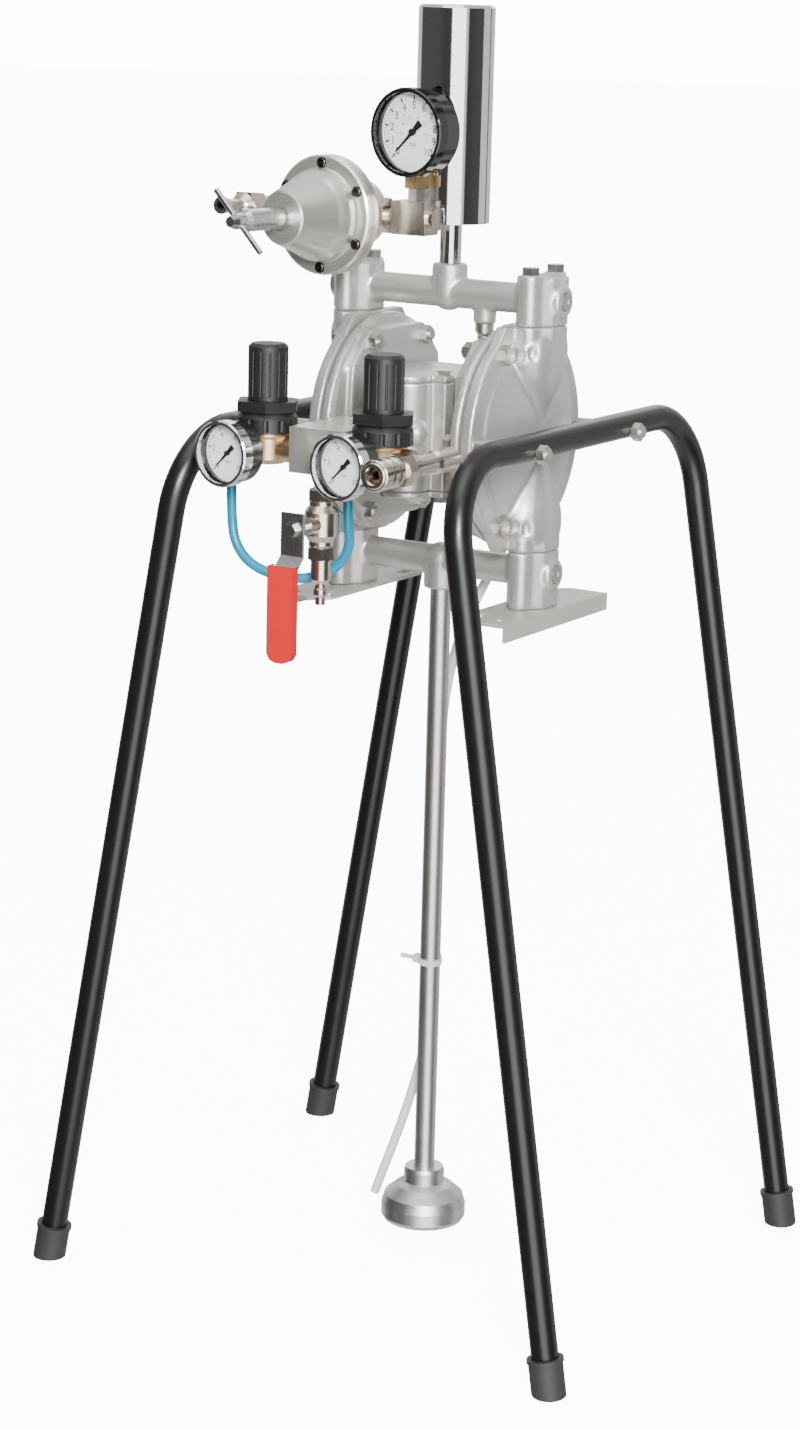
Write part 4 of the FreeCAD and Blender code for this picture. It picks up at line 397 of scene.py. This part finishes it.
def dial_print(name, face, radius, top_value, step, inner_scale=None):
    """Ticks for every unit, longer ones with numbers for every step, and an inner red scale if asked."""
    edit = bmesh.new()
    minor = top_value * 5
    for tick in range(minor + 1):
        depth, width = SHORT_TICK
        if tick % 5 == 0:
            depth, width = UNIT_TICK
        if tick % (5 * step) == 0:
            depth, width = LONG_TICK
        add_tick(edit, face, tick / minor, radius * (TICK_RING - depth), radius * TICK_RING,
                 width * radius / TICK_SCALE_RADIUS, BLACK)
    for value in range(0, top_value + 1, step):
        way = clock(value / top_value)
        reach = radius * NUMBER_RING
        add_text(edit, face, str(value), reach * math.cos(way), reach * math.sin(way), radius * 0.2, BLACK)
    if inner_scale:
        inner_top, inner_step = inner_scale
        inner, outer = INNER_TICKS
        for tick in range(0, inner_top + 1, inner_step // 2):
            add_tick(edit, face, tick / inner_top, radius * inner, radius * outer, INNER_TICK_WIDTH, RED)
        for value in range(inner_step, inner_top, inner_step):
            way = clock(value / inner_top)
            reach = radius * INNER_NUMBER_RING
            add_text(edit, face, str(value), reach * math.cos(way), reach * math.sin(way),
                     radius * 0.085, RED)
    add_text(edit, face, "bar", 0, -radius * 0.3, radius * 0.13, BLACK)
    mesh = bpy.data.meshes.new(name)
    edit.to_mesh(mesh)
    edit.free()
    mesh.materials.append(print_black)
    mesh.materials.append(print_red)
    piece = linked(name, mesh)
    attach(piece, "pump")


SMALL_DIAL = 21.9
TOP_DIAL = 30.4
DIAL_TURN = -6
dial_print("left_dial_print", Face(-72.5, -148, 686.5, 46, DIAL_TURN), SMALL_DIAL, 10, 2)
dial_print("right_dial_print", Face(32, -148, 686.5, 46, DIAL_TURN), SMALL_DIAL, 10, 2)
dial_print("top_dial_print", Face(-6, -48, 926, 3, DIAL_TURN), TOP_DIAL, 10, 1, (140, 20))

# Hoses on the routes of the CAD tubes: material, slot, far end, lay, length in metres and route
ROUTES = {
    "control_hose": (blue_hose, "blue_hose", "object", "loose", 0.2090, [
        (-105, -148, 657.5), (-105, -148, 632), (-99, -151, 606), (-80, -149, 589), (-50, -136, 582),
        (-25, -122, 590), (-11, -121, 611), (-9, -130, 632), (-9, -130, 656),
    ]),
    "return_hose": (milky, "white_plastic", "bare", "hanging", 0.7718, [
        (33, 0, 762), (33, 0, 740), (36, 17, 724), (40.5, 38, 714), (40.5, 53, 694), (40.5, 59, 665),
        (39, 57, 630), (30, 48, 590), (14, 34, 550), (2, 20, 505), (-3, 13.6, 455), (-3.4, 12.7, 405),
        (-2.9, 12.9, 358), (-3.2, 12.8, 312), (-3, 12.9, 270), (-3.1, 12.9, 222), (-8, 12, 176),
        (-17, 8.6, 132), (-28, 4.6, 92), (-39, 1, 58), (-47, -2, 32),
    ]),
}
HOSE_RADIUS = 4 * MM


def route_curve(name, points):
    """A smooth round hose with the route's points as its control points."""
    curve = bpy.data.curves.new(name, "CURVE")
    curve.dimensions = "3D"
    curve.bevel_depth = HOSE_RADIUS
    curve.bevel_resolution = 5
    curve.use_fill_caps = True
    curve.resolution_u = 12
    spline = curve.splines.new("NURBS")
    spline.points.add(len(points) - 1)
    for spot, point in zip(spline.points, points):
        spot.co = (*mm(*point), 1)
    spline.order_u = 3
    spline.use_endpoint_u = True
    return linked(name, curve)


for name, (made, slot, far_end, lay, length, points) in ROUTES.items():
    piece = route_curve(f"{name}_line", points)
    give(piece, made)
    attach(piece, "pump")
    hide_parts(name)


# Floor, backdrop, cards and light
def stage_piece(name, corners, faces, made, seen_by):
    """A stage surface that only the camera, or only shiny surfaces, see."""
    mesh = bpy.data.meshes.new(name)
    mesh.from_pydata(corners, [], faces)
    piece = linked(name, mesh)
    give(piece, made)
    piece.visible_camera = seen_by == "camera"
    piece.visible_glossy = seen_by == "shine"
    piece.visible_diffuse = False
    piece.visible_transmission = seen_by == "camera"
    piece.visible_shadow = False


def glowing(name, color, glow):
    """A pale surface that also glows evenly."""
    made = moulded(name, tuple(0.96 * part for part in color), color, 0.85, 60, 0.05)
    shader = made.node_tree.nodes["Principled BSDF"]
    shader.inputs["Emission Color"].default_value = (1, 1, 1, 1)
    shader.inputs["Emission Strength"].default_value = glow
    return made


def round_about(bearing, distance):
    """A level place round the object, at a bearing in degrees to the right of the camera's."""
    angle = AZIMUTH - math.pi / 2 + math.radians(bearing)
    return distance * math.cos(angle), distance * math.sin(angle)


def arc_wall(name, spans, distance, low, high, made, seen_by):
    """An upright wall round the object, over spans of bearings."""
    corners = []
    faces = []
    for first, last in spans:
        steps = max(2, int((last - first) / WALL_STEP))
        base = len(corners)
        for step in range(steps + 1):
            place = round_about(first + (last - first) * step / steps, distance)
            corners += [(*place, low), (*place, high)]
        for step in range(steps):
            corner = base + 2 * step
            faces.append((corner, corner + 2, corner + 3, corner + 1))
    stage_piece(name, corners, faces, made, seen_by)


WALL_STEP = 6
ROOM_GLOW = 0.92
FLOOR_GLOW = 11
BACKDROP_GLOW = 14
CARD_GLOW = 3.5
FLOOR = 30
world = bpy.data.worlds.new("world")
world.use_nodes = True
room = world.node_tree.nodes["Background"]
room.inputs["Color"].default_value = (1, 1, 1, 1)
room.inputs["Strength"].default_value = ROOM_GLOW
bpy.context.scene.world = world
stage_piece("floor", [(-FLOOR, -FLOOR, 0), (FLOOR, -FLOOR, 0), (FLOOR, FLOOR, 0), (-FLOOR, FLOOR, 0)],
            [(0, 1, 2, 3)], glowing("floor_paint", (0.88, 0.88, 0.88), FLOOR_GLOW), "camera")
arc_wall("backdrop", [(0, 360)], FLOOR * 0.9, -1, 30,
         glowing("backdrop_paint", (0.1, 0.1, 0.1), BACKDROP_GLOW), "camera")

# Dark flags and one bright card that only shiny surfaces see, as a photographer sets round chrome
flag_cloth = moulded("flag_cloth", (0.035, 0.034, 0.033), (0.05, 0.048, 0.046), 0.9)
arc_wall("flags", [(-128, -14), (35, 88), (117, 126)], 2.6, -2, 3.2, flag_cloth, "shine")
arc_wall("bright_card", [(-14, 27)], 2.9, -1.4, 1.4,
         glowing("card_paint", (0.8, 0.8, 0.8), CARD_GLOW), "shine")


AIM = Vector((0, 0, 0.65))


def soft_light(name, bearing, distance, height, size, glow):
    """A square soft box at a bearing from the camera's side, aimed at the pump, with an even glow."""
    light = bpy.data.lights.new(name, "AREA")
    light.shape = "SQUARE"
    light.size = size
    light.energy = glow * math.pi * size ** 2
    lamp = linked(name, light)
    lamp.location = (*round_about(bearing, distance), height)
    lamp.rotation_mode = "QUATERNION"
    lamp.rotation_quaternion = (lamp.location - AIM).to_track_quat("Z", "Y")


soft_light("key", 6, 3.4, 1.9, 0.8, 110)
soft_light("overhead", -20, 0.8, 3.2, 2.0, 2.4)
soft_light("back", 170, 3.0, 2.2, 1.8, 1.8)
